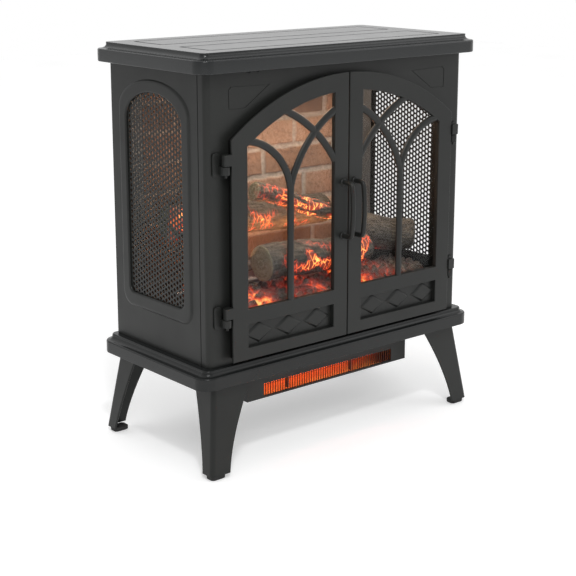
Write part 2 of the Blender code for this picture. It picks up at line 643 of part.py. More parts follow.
# Controls at the back and under the lid.
def make_controls():
    face = BODY_Y + GAP
    frame = (rectangle((0.142, 0.223), (0.462, 0.588)),)
    plate("control_panel", "XZ", frame, (face, face + 0.0040), PLASTIC)
    bezel = bpy.data.objects["control_panel"]
    outer = face + 0.0040
    x, z, half_x, half_z = 0.1825, 0.5630, 0.0110, 0.0130
    low = (x - half_x - 0.0005, face - 0.02, z - half_z - 0.0025)
    high = (x + half_x + 0.0005, outer + 0.01, z + half_z + 0.0025)
    cut(bezel, box("switch_slot", low, high, None, None, cutters))
    axis = empty("power_switch_axis", (x, face - 0.0015, z), stove)
    back = face - 0.0045
    front = ((face + 0.0050, z - half_z), (face + 0.0062, z), (face + 0.0085, z + half_z))
    profile = [(back, z - half_z), *front, (back, z + half_z)]
    plate("power_switch", "YZ", (profile,), (x - half_x, x + half_x), PLASTIC, axis)
    for name, z in (("flame_button", 0.5270), ("heat_button", 0.5030), ("timer_button", 0.4790)):
        hole = ((x, face - 0.01, z), (x, outer + 0.01, z))
        cut(bezel, rod(name + "_hole", *hole, 0.0070, None, None, cutters))
        button = empty(name + "_axis", (x, face, z), stove)
        rod(name, (x, face - 0.0030, z), (x, face + 0.0070, z), 0.0064, PLASTIC, button)
    box("control_board", (0.146, 0.1070, 0.4650), (0.219, 0.1086, 0.5850), BOARD)

    low = -BODY_Y + SHEET + GAP
    box("signal_sensor", (-0.2010, low, 0.6100), (-0.1670, low + 0.0095, 0.6270), PLASTIC)
    x, z = -0.190, 0.215
    gland = rod("power_inlet_gland", (x, face, z), (x, face + 0.0040, z), 0.0130, PLASTIC)
    neck = ((x, face - 0.008, z), (x, face + 0.001, z))
    fuse(gland, rod("gland_neck", *neck, 0.0080, None, None, cutters, 16))
    bore = ((x, face - 0.02, z), (x, face + 0.02, z))
    cut(gland, rod("gland_bore", *bore, 0.0042, None, None, cutters, 12))
    box("door_catch", (-0.016, -BODY_Y - GAP, 0.1963), (0.016, -BODY_Y + 0.0140, 0.2040), PLASTIC)


make_lid()
make_plinth()
make_fascia()
make_sides()
make_back()
make_legs()
for door_side, door_word in ((-1, "left"), (1, "right")):
    make_door(door_side, door_word)
make_firebox()
make_flame_effect()
make_heater()
make_controls()
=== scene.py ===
import json
import math
import random

import bmesh
import bpy
from mathutils import Matrix, Vector, noise

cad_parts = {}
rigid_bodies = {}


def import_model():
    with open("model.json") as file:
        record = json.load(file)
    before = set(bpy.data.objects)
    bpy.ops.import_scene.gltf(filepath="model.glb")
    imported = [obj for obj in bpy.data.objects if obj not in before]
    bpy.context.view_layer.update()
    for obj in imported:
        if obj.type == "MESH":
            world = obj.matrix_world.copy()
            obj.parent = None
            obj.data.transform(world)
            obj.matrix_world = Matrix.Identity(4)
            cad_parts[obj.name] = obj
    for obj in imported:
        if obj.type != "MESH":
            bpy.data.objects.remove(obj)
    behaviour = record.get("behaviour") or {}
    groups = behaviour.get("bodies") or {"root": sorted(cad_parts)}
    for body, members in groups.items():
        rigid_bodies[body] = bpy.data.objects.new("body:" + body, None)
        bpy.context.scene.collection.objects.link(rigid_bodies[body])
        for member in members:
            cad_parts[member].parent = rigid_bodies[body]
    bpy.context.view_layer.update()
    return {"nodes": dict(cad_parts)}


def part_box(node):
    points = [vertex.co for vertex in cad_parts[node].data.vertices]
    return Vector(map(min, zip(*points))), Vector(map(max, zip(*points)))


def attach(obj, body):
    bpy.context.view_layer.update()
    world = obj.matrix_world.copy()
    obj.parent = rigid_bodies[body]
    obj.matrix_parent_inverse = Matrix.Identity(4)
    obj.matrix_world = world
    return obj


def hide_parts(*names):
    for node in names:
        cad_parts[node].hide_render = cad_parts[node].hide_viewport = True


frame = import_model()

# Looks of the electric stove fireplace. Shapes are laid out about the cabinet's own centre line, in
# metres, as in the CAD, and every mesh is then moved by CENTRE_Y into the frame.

for startup in [o for o in bpy.data.objects if o.name in ("Cube", "Light", "Camera")]:
    bpy.data.objects.remove(startup)


def cad(node):
    """A CAD node's box in the cabinet's own coordinates."""
    low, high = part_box(node)
    shift = Vector((0.0, CENTRE_Y, 0.0))
    return low - shift, high - shift


lid_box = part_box("top_lid")
CENTRE_Y = (lid_box[0].y + lid_box[1].y) / 2
fascia_low, fascia_high = cad("front_fascia")
door_low, door_high = cad("right_door_frame")
BODY_X = fascia_high.x
FRONT = fascia_low.y
SEAM_Y = fascia_high.y
BACK = cad("back_panel")[1].y
BODY_BOTTOM, BODY_TOP = fascia_low.z, fascia_high.z
SHEET = 0.0014
GAP = 0.0003
CORNER_R = 0.0095
DOOR_X = door_high.x
DOOR_BACK = FRONT - 0.0007
DOOR_BOTTOM, DOOR_TOP = door_low.z, door_high.z
FRAME_SKIN = 0.0078
DOOR_FRONT = cad("right_door_glass")[0].y - GAP - FRAME_SKIN
ARCH_R = 0.3726
ARCH_Z = DOOR_TOP - ARCH_R
STILE_INNER = 0.0302
STILE_OUTER = 0.2065
RAIL = 0.029
WINDOW_BOTTOM = 0.2625
PANEL_BOTTOM, PANEL_TOP = 0.2005, 0.2384
MULLION_X = 0.119
BAR_R = 0.0063
BAR_DEPTH = 0.64
SIDES = ((-1, "left"), (1, "right"))


# Materials.
class Finish:
    """A material being built: nodes are added by type and wired by socket."""

    def __init__(self, name):
        self.material = bpy.data.materials.new(name)
        self.material.use_nodes = True
        self.tree = self.material.node_tree
        self.shader = self.tree.nodes["Principled BSDF"]
        self.place = self.node("TexCoord").outputs["Object"]

    def node(self, kind, inputs=None, **settings):
        made = self.tree.nodes.new("ShaderNode" + kind)
        for key, value in settings.items():
            setattr(made, key, value)
        for key, value in (inputs or {}).items():
            self.feed(made.inputs[key], value)
        return made

    def feed(self, socket, value):
        if isinstance(value, bpy.types.NodeSocket):
            self.tree.links.new(value, socket)
        else:
            socket.default_value = value

    def set(self, **inputs):
        for key, value in inputs.items():
            self.feed(self.shader.inputs[key.replace("_", " ")], value)
        return self

    def grain(self, scale, detail=4.0, stretch=None):
        """Noise from 0 to 1, with its own scale per metre and an optional stretch along each axis."""
        place = self.place
        if stretch:
            place = self.node("Mapping", {"Vector": place, "Scale": stretch}).outputs[0]
        inputs = {"Vector": place, "Scale": scale, "Detail": detail}
        return self.node("TexNoise", inputs).outputs["Fac"]

    def ramp(self, factor, *stops):
        made = self.node("ValToRGB", {"Fac": factor})
        slots = made.color_ramp.elements
        for index, (place, colour) in enumerate(stops):
            stop = slots[index] if index < 2 else slots.new(place)
            stop.position = place
            stop.color = (*colour, 1.0)
        return made.outputs["Color"]

    def remap(self, value, low, high, source=(0.3, 0.7)):
        inputs = {"Value": value, "From Min": source[0], "From Max": source[1], "To Min": low, "To Max": high}
        return self.node("MapRange", inputs).outputs["Result"]

    def math(self, operation, first, second=0.0):
        made = self.node("Math", operation=operation)
        self.feed(made.inputs[0], first)
        self.feed(made.inputs[1], second)
        return made.outputs[0]

    def mix(self, factor, first, second, blend="MIX"):
        made = self.node("Mix", data_type="RGBA", blend_type=blend)
        for index, value in ((0, factor), (6, first), (7, second)):
            self.feed(made.inputs[index], value)
        return made.outputs[2]

    def attribute(self, name):
        return self.node("Attribute", attribute_name=name).outputs["Fac"]

    def bump(self, height, strength, distance):
        made = self.node("Bump", {"Height": height, "Strength": strength, "Distance": distance})
        return self.set(Normal=made.outputs["Normal"])


FINE_GRAIN = (900.0, 0.35, 0.00012)


def plain(name, dark, light, roughness, grain=FINE_GRAIN, metallic=0.0, stretch=None, specular=0.5):
    """A moulded or coated surface: two close tones, uneven gloss and grain (scale, strength, height)."""
    made = Finish(name)
    made.set(Base_Color=made.ramp(made.grain(7.0, 5.0), (0.35, dark), (0.68, light)))
    made.set(Specular_IOR_Level=specular)
    made.set(Roughness=made.remap(made.grain(23.0), *roughness), Metallic=metallic)
    scale, strength, distance = grain
    return made.bump(made.grain(scale, 3.0, stretch), strength, distance)


PAINT = plain(
    "charcoal_paint", (0.0095, 0.0102, 0.0095), (0.0135, 0.0143, 0.0132), (0.36, 0.44), specular=0.29
).material
GLOSS = plain(
    "gloss_trim_paint", (0.01, 0.0113, 0.0117), (0.0135, 0.0148, 0.015), (0.215, 0.235),
    (1400.0, 0.03, 0.00002), specular=0.42
).material
# the plinth's copy of the trim paint: a satin sheen, and a darker base colour that is painted shade on the
# lower moulding
SATIN_SHADED_TRIM = plain(
    "satin_trim_paint_with_painted_shade", (0.008, 0.0088, 0.0088), (0.0115, 0.0124, 0.0124), (0.24, 0.27),
    (1400.0, 0.03, 0.00002), specular=0.27
).material
# painted shade: a near-black copy of the body paint for the doors' side rims, standing in for the shade on
# the doors' sides
PAINTED_SHADE_EDGE = plain(
    "door_edge_painted_shade", (0.0025, 0.0027, 0.0025), (0.0042, 0.0044, 0.0041), (0.55, 0.65), specular=0.12
).material
GREY_LINING = plain(
    "grey_lining", (0.08, 0.09, 0.095), (0.105, 0.117, 0.122), (0.55, 0.7), (300.0, 0.3, 0.0002)
).material
PLASTIC = plain(
    "black_plastic", (0.01, 0.01, 0.011), (0.016, 0.016, 0.017), (0.45, 0.58), (1500.0, 0.5, 0.0002)
).material
SHINY_PLASTIC = plain(
    "gloss_plastic", (0.008, 0.008, 0.009), (0.013, 0.013, 0.014), (0.16, 0.24), (400.0, 0.08, 0.0001)
).material
STEEL = plain(
    "zinc_steel", (0.42, 0.43, 0.44), (0.6, 0.61, 0.63), (0.28, 0.42), (160.0, 0.3, 0.0001), 1.0, (1, 1, 12)
).material
RUBBER = plain(
    "rubber_pad", (0.01, 0.01, 0.01), (0.018, 0.018, 0.017), (0.7, 0.85), (700.0, 0.6, 0.0003)
).material
SOOT = plain(
    "firebox_lining", (0.03, 0.03, 0.029), (0.055, 0.053, 0.05), (0.55, 0.7), (300.0, 0.4, 0.0003)
).material


def make_reflector():
    made = plain(
        "reflector_metal", (0.6, 0.55, 0.5), (0.75, 0.7, 0.66), (0.18, 0.3), (220.0, 0.4, 0.0004), 1.0
    )
    across = made.node("TexCoord").outputs["Generated"]
    across = made.node("SeparateXYZ", {"Vector": across}).outputs["X"]
    uneven = made.remap(made.grain(30.0, 3.0, (0.6, 1, 1)), -0.1, 0.1)
    # painted light: the reflector glows orange, brightest at the left and deep red at the right, standing in
    # for the coils' light reflected in it
    glow = made.ramp(
        made.math("ADD", across, uneven),
        (0.15, (1.0, 0.105, 0.018)),
        (0.62, (1.0, 0.075, 0.012)),
        (0.8, (0.45, 0.028, 0.006)),
        (0.96, (0.12, 0.008, 0.003)),
    )
    return made.set(Emission_Color=glow, Emission_Strength=5.0).material


def make_glass():
    made = Finish("door_glass")
    tint = made.ramp(made.grain(9.0), (0.3, (0.01, 0.011, 0.011)), (0.7, (0.022, 0.022, 0.023)))
    made.set(Base_Color=tint)
    made.set(Roughness=made.remap(made.grain(14.0), 0.03, 0.07), IOR=1.5)
    made.set(Alpha=made.remap(made.grain(11.0, 2.0), 0.1, 0.15))
    return made.bump(made.grain(18.0, 2.0), 0.08, 0.0004).material


def make_brick():
    """Tan bricks in pale mortar; the mesh carries the mortar, each brick's tone and how much painted shade
    darkens it.
    """
    made = Finish("printed_brick")
    tone = made.attribute("tone")
    speckle = made.grain(240.0, 6.0)
    patch = made.grain(32.0, 5.0)
    mixed = made.math("ADD", made.math("MULTIPLY", tone, 0.62), made.math("MULTIPLY", patch, 0.38))
    body = made.ramp(
        mixed,
        (0.1, (0.16, 0.112, 0.084)),
        (0.32, (0.26, 0.178, 0.13)),
        (0.52, (0.345, 0.225, 0.16)),
        (0.74, (0.375, 0.28, 0.215)),
        (0.92, (0.405, 0.345, 0.29)),
    )
    spots = made.ramp(speckle, (0.36, (0.45, 0.42, 0.4)), (0.52, (1.0, 1.0, 1.0)))
    brick = made.mix(0.55, body, spots, "MULTIPLY")
    mortar = made.ramp(made.grain(150.0, 6.0), (0.3, (0.29, 0.275, 0.25)), (0.7, (0.46, 0.44, 0.405)))
    both = made.mix(made.attribute("mortar"), brick, mortar)
    # painted shade: bricks and mortar are multiplied by a darker tone where the mesh marks shade, at the left
    # end and the top of the wall
    shade_tone = made.ramp(made.grain(25.0), (0.3, (0.34, 0.26, 0.22)), (0.7, (0.52, 0.42, 0.36)))
    colour = made.mix(made.attribute("painted_shade"), both, shade_tone, "MULTIPLY")
    made.set(Base_Color=colour, Roughness=made.remap(made.grain(60.0), 0.72, 0.92))
    # painted light: the bricks glow faintly with their own colour, standing in for the firebox lamps lighting
    # them
    made.set(Emission_Color=colour, Emission_Strength=0.06)
    return made.bump(made.math("ADD", speckle, patch), 0.6, 0.0006).material


FIRE_STOPS = (
    (0.02, (0.0, 0.0, 0.0)),
    (0.22, (0.2, 0.01, 0.003)),
    (0.48, (0.75, 0.055, 0.01)),
    (0.75, (1.0, 0.19, 0.03)),
    (1.0, (1.0, 0.56, 0.13)),
)


def make_bark():
    """Charred, ash-grey bark; the cracks between its plates glow where the mesh is marked hot."""
    made = Finish("moulded_log")
    chart = made.node("UVMap", uv_map="bark").outputs["UV"]
    wander = made.node("TexNoise", {"Vector": chart, "Scale": 60.0, "Detail": 3.0}).outputs["Color"]
    push = made.node("VectorMath", operation="MULTIPLY_ADD")
    made.feed(push.inputs[0], wander)
    made.feed(push.inputs[1], (0.006, 0.006, 0.0))
    made.feed(push.inputs[2], chart)
    stretched = made.node("Mapping", {"Vector": push.outputs[0], "Scale": (46.0, 130.0, 1.0)})
    cells = made.node("TexVoronoi", {"Vector": stretched.outputs[0], "Scale": 1.0})
    cells.feature = "DISTANCE_TO_EDGE"
    edge = cells.outputs["Distance"]
    fibre = made.node("Mapping", {"Vector": chart, "Scale": (260.0, 40.0, 1.0)})
    streak = made.node("TexNoise", {"Vector": fibre.outputs[0], "Scale": 1.0, "Detail": 6.0})
    body = made.ramp(
        streak.outputs["Fac"],
        (0.22, (0.026, 0.022, 0.019)),
        (0.45, (0.072, 0.066, 0.056)),
        (0.62, (0.125, 0.117, 0.096)),
        (0.82, (0.205, 0.196, 0.15)),
    )
    made.set(Base_Color=body, Roughness=made.remap(made.grain(80.0), 0.68, 0.9))
    line = made.remap(edge, 1.0, 0.0, (0.0, 0.1))
    line = made.math("POWER", line, 1.5)
    glow = made.math("MULTIPLY", line, made.attribute("fire_glow"))
    halo = made.math("MULTIPLY", made.attribute("fire_glow"), 0.17)
    fire = made.ramp(made.math("ADD", glow, halo), *FIRE_STOPS)
    made.set(Emission_Color=fire, Emission_Strength=2.0)
    fine = made.math("MULTIPLY", streak.outputs["Fac"], 0.3)
    depth = made.math("ADD", made.math("MINIMUM", edge, 0.25), fine)
    return made.bump(depth, 0.8, 0.003).material


def make_cut_wood():
    """Sawn ends of the logs: growth rings, and a fire glow where the mesh is marked hot."""
    made = Finish("moulded_log_end")
    chart = made.node("UVMap", uv_map="bark").outputs["UV"]
    rings = made.node("TexNoise", {"Vector": chart, "Scale": 55.0})
    body = made.ramp(
        rings.outputs["Fac"],
        (0.3, (0.13, 0.13, 0.09)),
        (0.5, (0.215, 0.215, 0.15)),
        (0.7, (0.3, 0.3, 0.215)),
    )
    made.set(Base_Color=body, Roughness=made.remap(made.grain(90.0), 0.7, 0.9))
    glow = made.math("MULTIPLY", made.attribute("fire_glow"), made.remap(made.grain(120.0), 0.45, 0.72))
    made.set(Emission_Color=made.ramp(glow, *FIRE_STOPS), Emission_Strength=0.7)
    return made.bump(rings.outputs["Fac"], 0.5, 0.001).material


def make_ember():
    """Ash-crusted resin embers, lit from inside through the gaps."""
    made = Finish("ember_resin")
    crust = made.grain(90.0, 7.0)
    body = made.ramp(
        crust,
        (0.3, (0.018, 0.015, 0.013)),
        (0.52, (0.08, 0.07, 0.06)),
        (0.74, (0.19, 0.172, 0.145)),
    )
    made.set(Base_Color=body, Roughness=made.remap(made.grain(70.0), 0.62, 0.88))
    flicker = made.remap(made.grain(130.0, 5.0), 0.25, 1.25)
    glow = made.math("MULTIPLY", made.attribute("fire_glow"), flicker)
    made.set(Emission_Color=made.ramp(glow, *FIRE_STOPS), Emission_Strength=1.2)
    return made.bump(crust, 0.8, 0.0015).material


def make_coil():
    made = Finish("heating_coil")
    glow = made.ramp(made.grain(40.0), (0.35, (1.0, 0.2, 0.03)), (0.65, (1.0, 0.46, 0.1)))
    wire = made.ramp(made.grain(300.0), (0.3, (0.1, 0.04, 0.02)), (0.7, (0.2, 0.08, 0.04)))
    made.set(Base_Color=wire)
    return made.set(Roughness=0.6, Emission_Color=glow, Emission_Strength=7.0).material


def make_quartz():
    made = Finish("quartz_tube")
    tint = made.ramp(made.grain(60.0), (0.3, (0.8, 0.3, 0.12)), (0.7, (0.95, 0.5, 0.22)))
    made.set(Base_Color=tint, Roughness=made.remap(made.grain(50.0), 0.08, 0.2))
    made.set(Alpha=made.remap(made.grain(35.0), 0.18, 0.3))
    made.set(Emission_Color=(1.0, 0.22, 0.05, 1.0), Emission_Strength=0.8)
    return made.material


def make_board():
    tones = (0.01, 0.075, 0.03), (0.018, 0.12, 0.05)
    made = plain("circuit_board", *tones, (0.3, 0.42), (500.0, 0.2, 0.0002))
    tracks = made.node("TexBrick", {"Vector": made.place, "Scale": 90.0})
    made.set(Metallic=made.remap(tracks.outputs["Fac"], 0.0, 0.35, (0.0, 1.0)))
    return made.material


def make_floor():
    made = Finish("studio_floor")
    pale = made.ramp(made.grain(3.0), (0.3, (0.86, 0.86, 0.86)), (0.7, (0.9, 0.9, 0.9)))
    made.set(Base_Color=pale, Roughness=0.9)
    return made.set(Emission_Color=(1.0, 1.0, 1.0, 1.0), Emission_Strength=0.27).material


REFLECTOR = make_reflector()
GLASS = make_glass()
BRICK = make_brick()
BARK = make_bark()
CUT_WOOD = make_cut_wood()
EMBER = make_ember()
COIL = make_coil()
QUARTZ = make_quartz()
BOARD = make_board()


# Mesh tools. Each returns a mesh in the cabinet's coordinates.
def mesh_of(work, smooth_angle=40.0):
    bmesh.ops.recalc_face_normals(work, faces=work.faces)
    mesh = bpy.data.meshes.new("shape")
    work.to_mesh(mesh)
    work.free()
    mesh.shade_smooth()
    mesh.set_sharp_from_angle(angle=math.radians(smooth_angle))
    return mesh


def evaluated(obj):
    """The object's shape with its modifiers applied, as a new mesh; the object is removed."""
    bpy.context.scene.collection.objects.link(obj)
    bpy.context.view_layer.update()
    mesh = bpy.data.meshes.new_from_object(obj.evaluated_get(bpy.context.evaluated_depsgraph_get()))
    bpy.data.objects.remove(obj)
    return mesh


PLANES = {
    "XY": Matrix.Identity(4),
    "XZ": Matrix(((1, 0, 0, 0), (0, 0, 1, 0), (0, 1, 0, 0), (0, 0, 0, 1))),
    "YZ": Matrix(((0, 0, 1, 0), (1, 0, 0, 0), (0, 1, 0, 0), (0, 0, 0, 1))),
}


WELD = 0.00001


def swept(curve, loops, closed):
    """The solid made by a curve of straight runs, with its seams welded."""
    for loop in loops:
        spline = curve.splines.new("POLY")
        spline.points.add(len(loop) - 1)
        for point, place in zip(spline.points, loop):
            point.co = (*place, 1.0)
        spline.use_cyclic_u = closed
    work = bmesh.new()
    work.from_mesh(evaluated(bpy.data.objects.new("outline", curve)))
    bmesh.ops.remove_doubles(work, verts=work.verts, dist=WELD)
    return work


def plate(plane, loops, span, bevel=0.0, steps=2):
    """A flat outline with holes for the further loops, thick from span[0] to span[1], edges rounded."""
    curve = bpy.data.curves.new("outline", "CURVE")
    curve.dimensions = "2D"
    curve.fill_mode = "BOTH"
    curve.extrude = abs(span[1] - span[0]) / 2 - bevel
    curve.bevel_depth = bevel
    curve.bevel_resolution = steps
    curve.offset = -bevel
    work = swept(curve, [[(u, v, 0.0) for u, v in loop] for loop in loops], True)
    lift = Matrix.Translation((0.0, 0.0, (span[0] + span[1]) / 2))
    bmesh.ops.transform(work, matrix=PLANES[plane] @ lift, verts=work.verts)
    return mesh_of(work)


def tube(points, radius, resolution=5):
    curve = bpy.data.curves.new("path", "CURVE")
    curve.dimensions = "3D"
    curve.bevel_depth = radius
    curve.bevel_resolution = resolution
    curve.use_fill_caps = True
    return mesh_of(swept(curve, [points], False), 50.0)


def slab(low, high, bevel=0.0008, steps=3):
    """A block with rounded edges."""
    low, high = Vector(low), Vector(high)
    work = bmesh.new()
    bmesh.ops.create_cube(work, size=1.0)
    bmesh.ops.scale(work, vec=high - low, verts=work.verts)
    bmesh.ops.translate(work, vec=(low + high) / 2, verts=work.verts)
    bmesh.ops.bevel(work, geom=work.edges, offset=bevel, segments=steps, profile=0.5, affect="EDGES")
    return mesh_of(work)


def loft(rings, wrap=False, caps=True):
    """Skins equal loops of points in order; wrap joins the last to the first."""
    work = bmesh.new()
    made = [[work.verts.new(point) for point in ring] for ring in rings]
    pairs = list(zip(made, made[1:]))
    if wrap:
        pairs.append((made[-1], made[0]))
    for near, far in pairs:
        for a, b, c, d in zip(near, near[1:] + near[:1], far[1:] + far[:1], far):
            work.faces.new((a, b, c, d))
    if caps and not wrap:
        work.faces.new(made[0])
        work.faces.new(made[-1])
    return mesh_of(work)


def turned(start, direction, profile, sides=32):
    """A turned shape: (distance along the axis, radius) pairs, spun about the axis and capped."""
    axis = Vector(direction).normalized()
    side = axis.orthogonal().normalized()
    up = axis.cross(side)
    turn = [2 * math.pi * i / sides for i in range(sides)]
    rings = [
        [Vector(start) + axis * along + (side * math.cos(a) + up * math.sin(a)) * radius for a in turn]
        for along, radius in profile
    ]
    return loft(rings)


def joined(meshes):
    """One mesh from several, keeping each one's sharp edges and materials by index."""
    work = bmesh.new()
    for mesh in meshes:
        work.from_mesh(mesh)
    made = bpy.data.meshes.new("joined")
    work.to_mesh(made)
    work.free()
    return made


def carve(mesh, cutters):
    """The mesh with each cutter taken out of it."""
    obj = bpy.data.objects.new("carved", mesh)
    others = []
    for cutter in cutters:
        other = bpy.data.objects.new("cutter", cutter)
        bpy.context.scene.collection.objects.link(other)
        step = obj.modifiers.new("cut", "BOOLEAN")
        step.operation = "DIFFERENCE"
        step.solver = "EXACT"
        step.object = other
        others.append(other)
    made = evaluated(obj)
    for other in others:
        bpy.data.objects.remove(other)
    made.shade_smooth()
    made.set_sharp_from_angle(angle=math.radians(30.0))
    return made


def piece(name, meshes, finish, body="cabinet", stands_for=(), more=()):
    """Makes the object from its meshes, in the frame, riding on its body and standing for its CAD nodes."""
    mesh = joined(meshes) if len(meshes) > 1 else meshes[0]
    mesh.transform(Matrix.Translation((0.0, CENTRE_Y, 0.0)))
    for material in (finish, *more):
        mesh.materials.append(material)
    made = bpy.data.objects.new(name, mesh)
    bpy.context.scene.collection.objects.link(made)
    shading = made.modifiers.new("flat_faces", "WEIGHTED_NORMAL")
    shading.keep_sharp = True
    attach(made, body)
    if stands_for:
        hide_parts(*stands_for)


def coloured(mesh, slot):
    """The mesh with all its faces in one of the piece's material slots."""
    for face in mesh.polygons:
        face.material_index = slot
    return mesh


# Outlines.
def arc(centre, radius, start, end, count):
    angles = [math.radians(start + (end - start) * i / (count - 1)) for i in range(count)]
    return [(centre[0] + radius * math.cos(a), centre[1] + radius * math.sin(a)) for a in angles]


def rounded_rectangle(half_u, half_v, radius, count=10, centre=(0.0, 0.0)):
    points = []
    for sign_u, sign_v, start in ((1, 1, 0), (-1, 1, 90), (-1, -1, 180), (1, -1, 270)):
        corner = (centre[0] + sign_u * (half_u - radius), centre[1] + sign_v * (half_v - radius))
        points += arc(corner, radius, start, start + 90, count)
    return points


def rectangle(u, v):
    return [(u[0], v[0]), (u[1], v[0]), (u[1], v[1]), (u[0], v[1])]


def under_arch(inner, outer, bottom, radius, count=28):
    """One door leaf's field: flat below, bounded above by the arch that both leaves share."""
    start = math.degrees(math.acos(inner / radius))
    end = math.degrees(math.acos(outer / radius))
    return [(outer, bottom), *reversed(arc((0.0, ARCH_Z), radius, start, end, count)), (inner, bottom)]


def tombstone(low_y, high_y, bottom, spring, rise, radius, count=41):
    """A window outline with rounded bottom corners and a flat elliptical arch on top."""
    middle, half = (low_y + high_y) / 2, (high_y - low_y) / 2
    top = [(middle + half * x, spring + rise * z) for x, z in arc((0.0, 0.0), 1.0, 0, 180, count)]
    left = arc((low_y + radius, bottom + radius), radius, 180, 270, 9)
    right = arc((high_y - radius, bottom + radius), radius, 270, 360, 9)
    return top + left + right


def mirrored(points, side):
    return [(side * point[0], *point[1:]) for point in points]


def span_x(side, near, far):
    """The span in X between two distances from the centre line, on one side."""
    return sorted((side * near, side * far))


def front_of(low, high):
    """A box's outline in the XZ plane."""
    return rectangle((low.x, high.x), (low.z, high.z))


def grown(points, distance):
    """A convex anticlockwise outline moved outwards by a distance, or inwards where that is negative."""
    moved = []
    for before, here, after in zip(points[-1:] + points[:-1], points, points[1:] + points[:1]):
        first = (Vector(here) - Vector(before)).normalized()
        second = (Vector(after) - Vector(here)).normalized()
        across = Vector((first.y + second.y, -first.x - second.x)).normalized()
        reach = distance / max(0.2, across.dot(Vector((first.y, -first.x))))
        moved.append(tuple(Vector(here) + across * reach))
    return moved


# Cabinet.
def trim_rings(half_x, half_y, corner, sections, y_share=1.0):
    """Loops for a moulding, one for each (inset, height); y_share narrows the inset in Y."""
    rings = []
    for inset, z in sections:
        outline = rounded_rectangle(half_x - inset, half_y - inset * y_share, max(0.003, corner - inset), 12)
        rings.append([(x, y, z) for x, y in outline])
    return rings


def quarter_turn(count):
    return [math.pi / 2 * i / (count - 1) for i in range(count)]


def cove(start, end, count=7):
    """A hollow moulding between two (inset, height) points: level at the start, steep at the end."""
    wide, tall = end[0] - start[0], end[1] - start[1]
    turn = quarter_turn(count)
    return [(start[0] + wide * math.sin(a), start[1] + tall * (1 - math.cos(a))) for a in turn]


def round_over(start, end, count=5):
    """A convex edge between two (inset, height) points: upright at the start, level at the end."""
    wide, tall = end[0] - start[0], end[1] - start[1]
    turn = quarter_turn(count)
    return [(start[0] + wide * (1 - math.cos(a)), start[1] + tall * math.sin(a)) for a in turn]


def make_lid():
    low, high = cad("top_lid")
    slab_top, step = low.z + 0.0205, 0.0145
    groove, groove_depth, groove_corner = 0.004, 0.0016, 0.0045
    edge = 0.0024
    sections = [(0.0014, low.z), (0.0004, low.z + 0.0005), (0.0, low.z + 0.0014)]
    sections += round_over((0.0, slab_top - edge), (edge, slab_top))
    sections += cove((edge + 0.0004, slab_top), (step - 0.0006, high.z - 0.0028))
    sections += [(step - 0.0006, high.z - groove_depth)]
    moulding = loft(trim_rings(high.x, high.y, 0.024, sections))
    inset = step - 0.0006
    top = [rounded_rectangle(high.x - inset, high.y - inset, 0.0095, 12)]
    islands = []
    for y in (-0.062, 0.062):
        top.append(rounded_rectangle(0.245, 0.04, groove_corner, 6, (0.0, y)))
        inner = (0.245 - groove, 0.04 - groove, groove_corner - groove)
        islands.append(rounded_rectangle(*inner, 6, (0.0, y)))
    span = (high.z - groove_depth - 0.0008, high.z)
    shapes = [moulding, plate("XY", top, span, 0.0006)]
    shapes += [plate("XY", [island], span, 0.0004) for island in islands]
    piece("lid_with_grooves", shapes, GLOSS, stands_for=("top_lid",))


def make_plinth():
    low, high = cad("plinth")
    slab_top, edge = low.z + 0.0205, 0.0026
    step = 0.0145
    sections = [(0.0012, low.z), (0.0003, low.z + 0.0004), (0.0, low.z + 0.0012)]
    sections += round_over((0.0, slab_top - edge), (edge, slab_top))
    sections += cove((edge + 0.0006, slab_top), (step - 0.0026, high.z - 0.0026))
    sections += round_over((step - 0.0026, high.z - 0.0022), (step, high.z))
    rings = trim_rings(high.x, high.y, 0.024, sections, 0.72)
    piece("plinth_moulding", [loft(rings)], SATIN_SHADED_TRIM, stands_for=("plinth",))


def make_fascia():
    outer, inner = CORNER_R, CORNER_R - SHEET
    centre_y = FRONT + outer
    outline = [(-BODY_X, SEAM_Y)]
    for side, start in ((-1, 180), (1, 270)):
        outline += arc((side * (BODY_X - outer), centre_y), outer, start, start + 90, 12)
    outline += [(BODY_X, SEAM_Y), (BODY_X - SHEET, SEAM_Y)]
    for side, start in ((1, 360), (-1, 270)):
        outline += arc((side * (BODY_X - outer), centre_y), inner, start, start - 90, 12)
    outline.append((-BODY_X + SHEET, SEAM_Y))
    sheet = plate("XY", (outline,), (BODY_BOTTOM, BODY_TOP))
    half, bottom, radius = 0.22, 0.196, ARCH_R - 0.016
    end = math.degrees(math.acos(half / radius))
    opening = [(-half, bottom), (half, bottom), *arc((0.0, ARCH_Z), radius, end, 180 - end, 49)]
    through = (FRONT - 0.01, FRONT + 0.01)
    cutters = [plate("XZ", (opening,), through)]
    corner = [(0.1524, 0.6039), (0.225, 0.6055), (0.2303, 0.6005), (0.2294, 0.5716), (0.1995, 0.572)]
    groove_depth, groove = 0.0007, 0.0007
    for side, _ in SIDES:
        points = mirrored(corner, side)
        if side > 0:
            points.reverse()
        loops = (grown(points, groove), grown(points, -groove))
        cutters.append(plate("XZ", loops, (FRONT - 0.002, FRONT + groove_depth)))
    for x in (-0.1919, -0.1758):
        slot = rectangle((x - 0.0037, x + 0.0037), (BODY_TOP - 0.004, BODY_TOP - 0.0012))
        cutters.append(plate("XZ", (slot,), through))
    piece("fascia_sheet", [carve(sheet, cutters)], PAINT, stands_for=("front_fascia",))


SIDE_WINDOW = (-0.065, 0.083, 0.258, 0.541, 0.046, 0.012)
SIDE_MOULDING = (-0.0865, 0.1045, 0.233, 0.558, 0.05, 0.024)
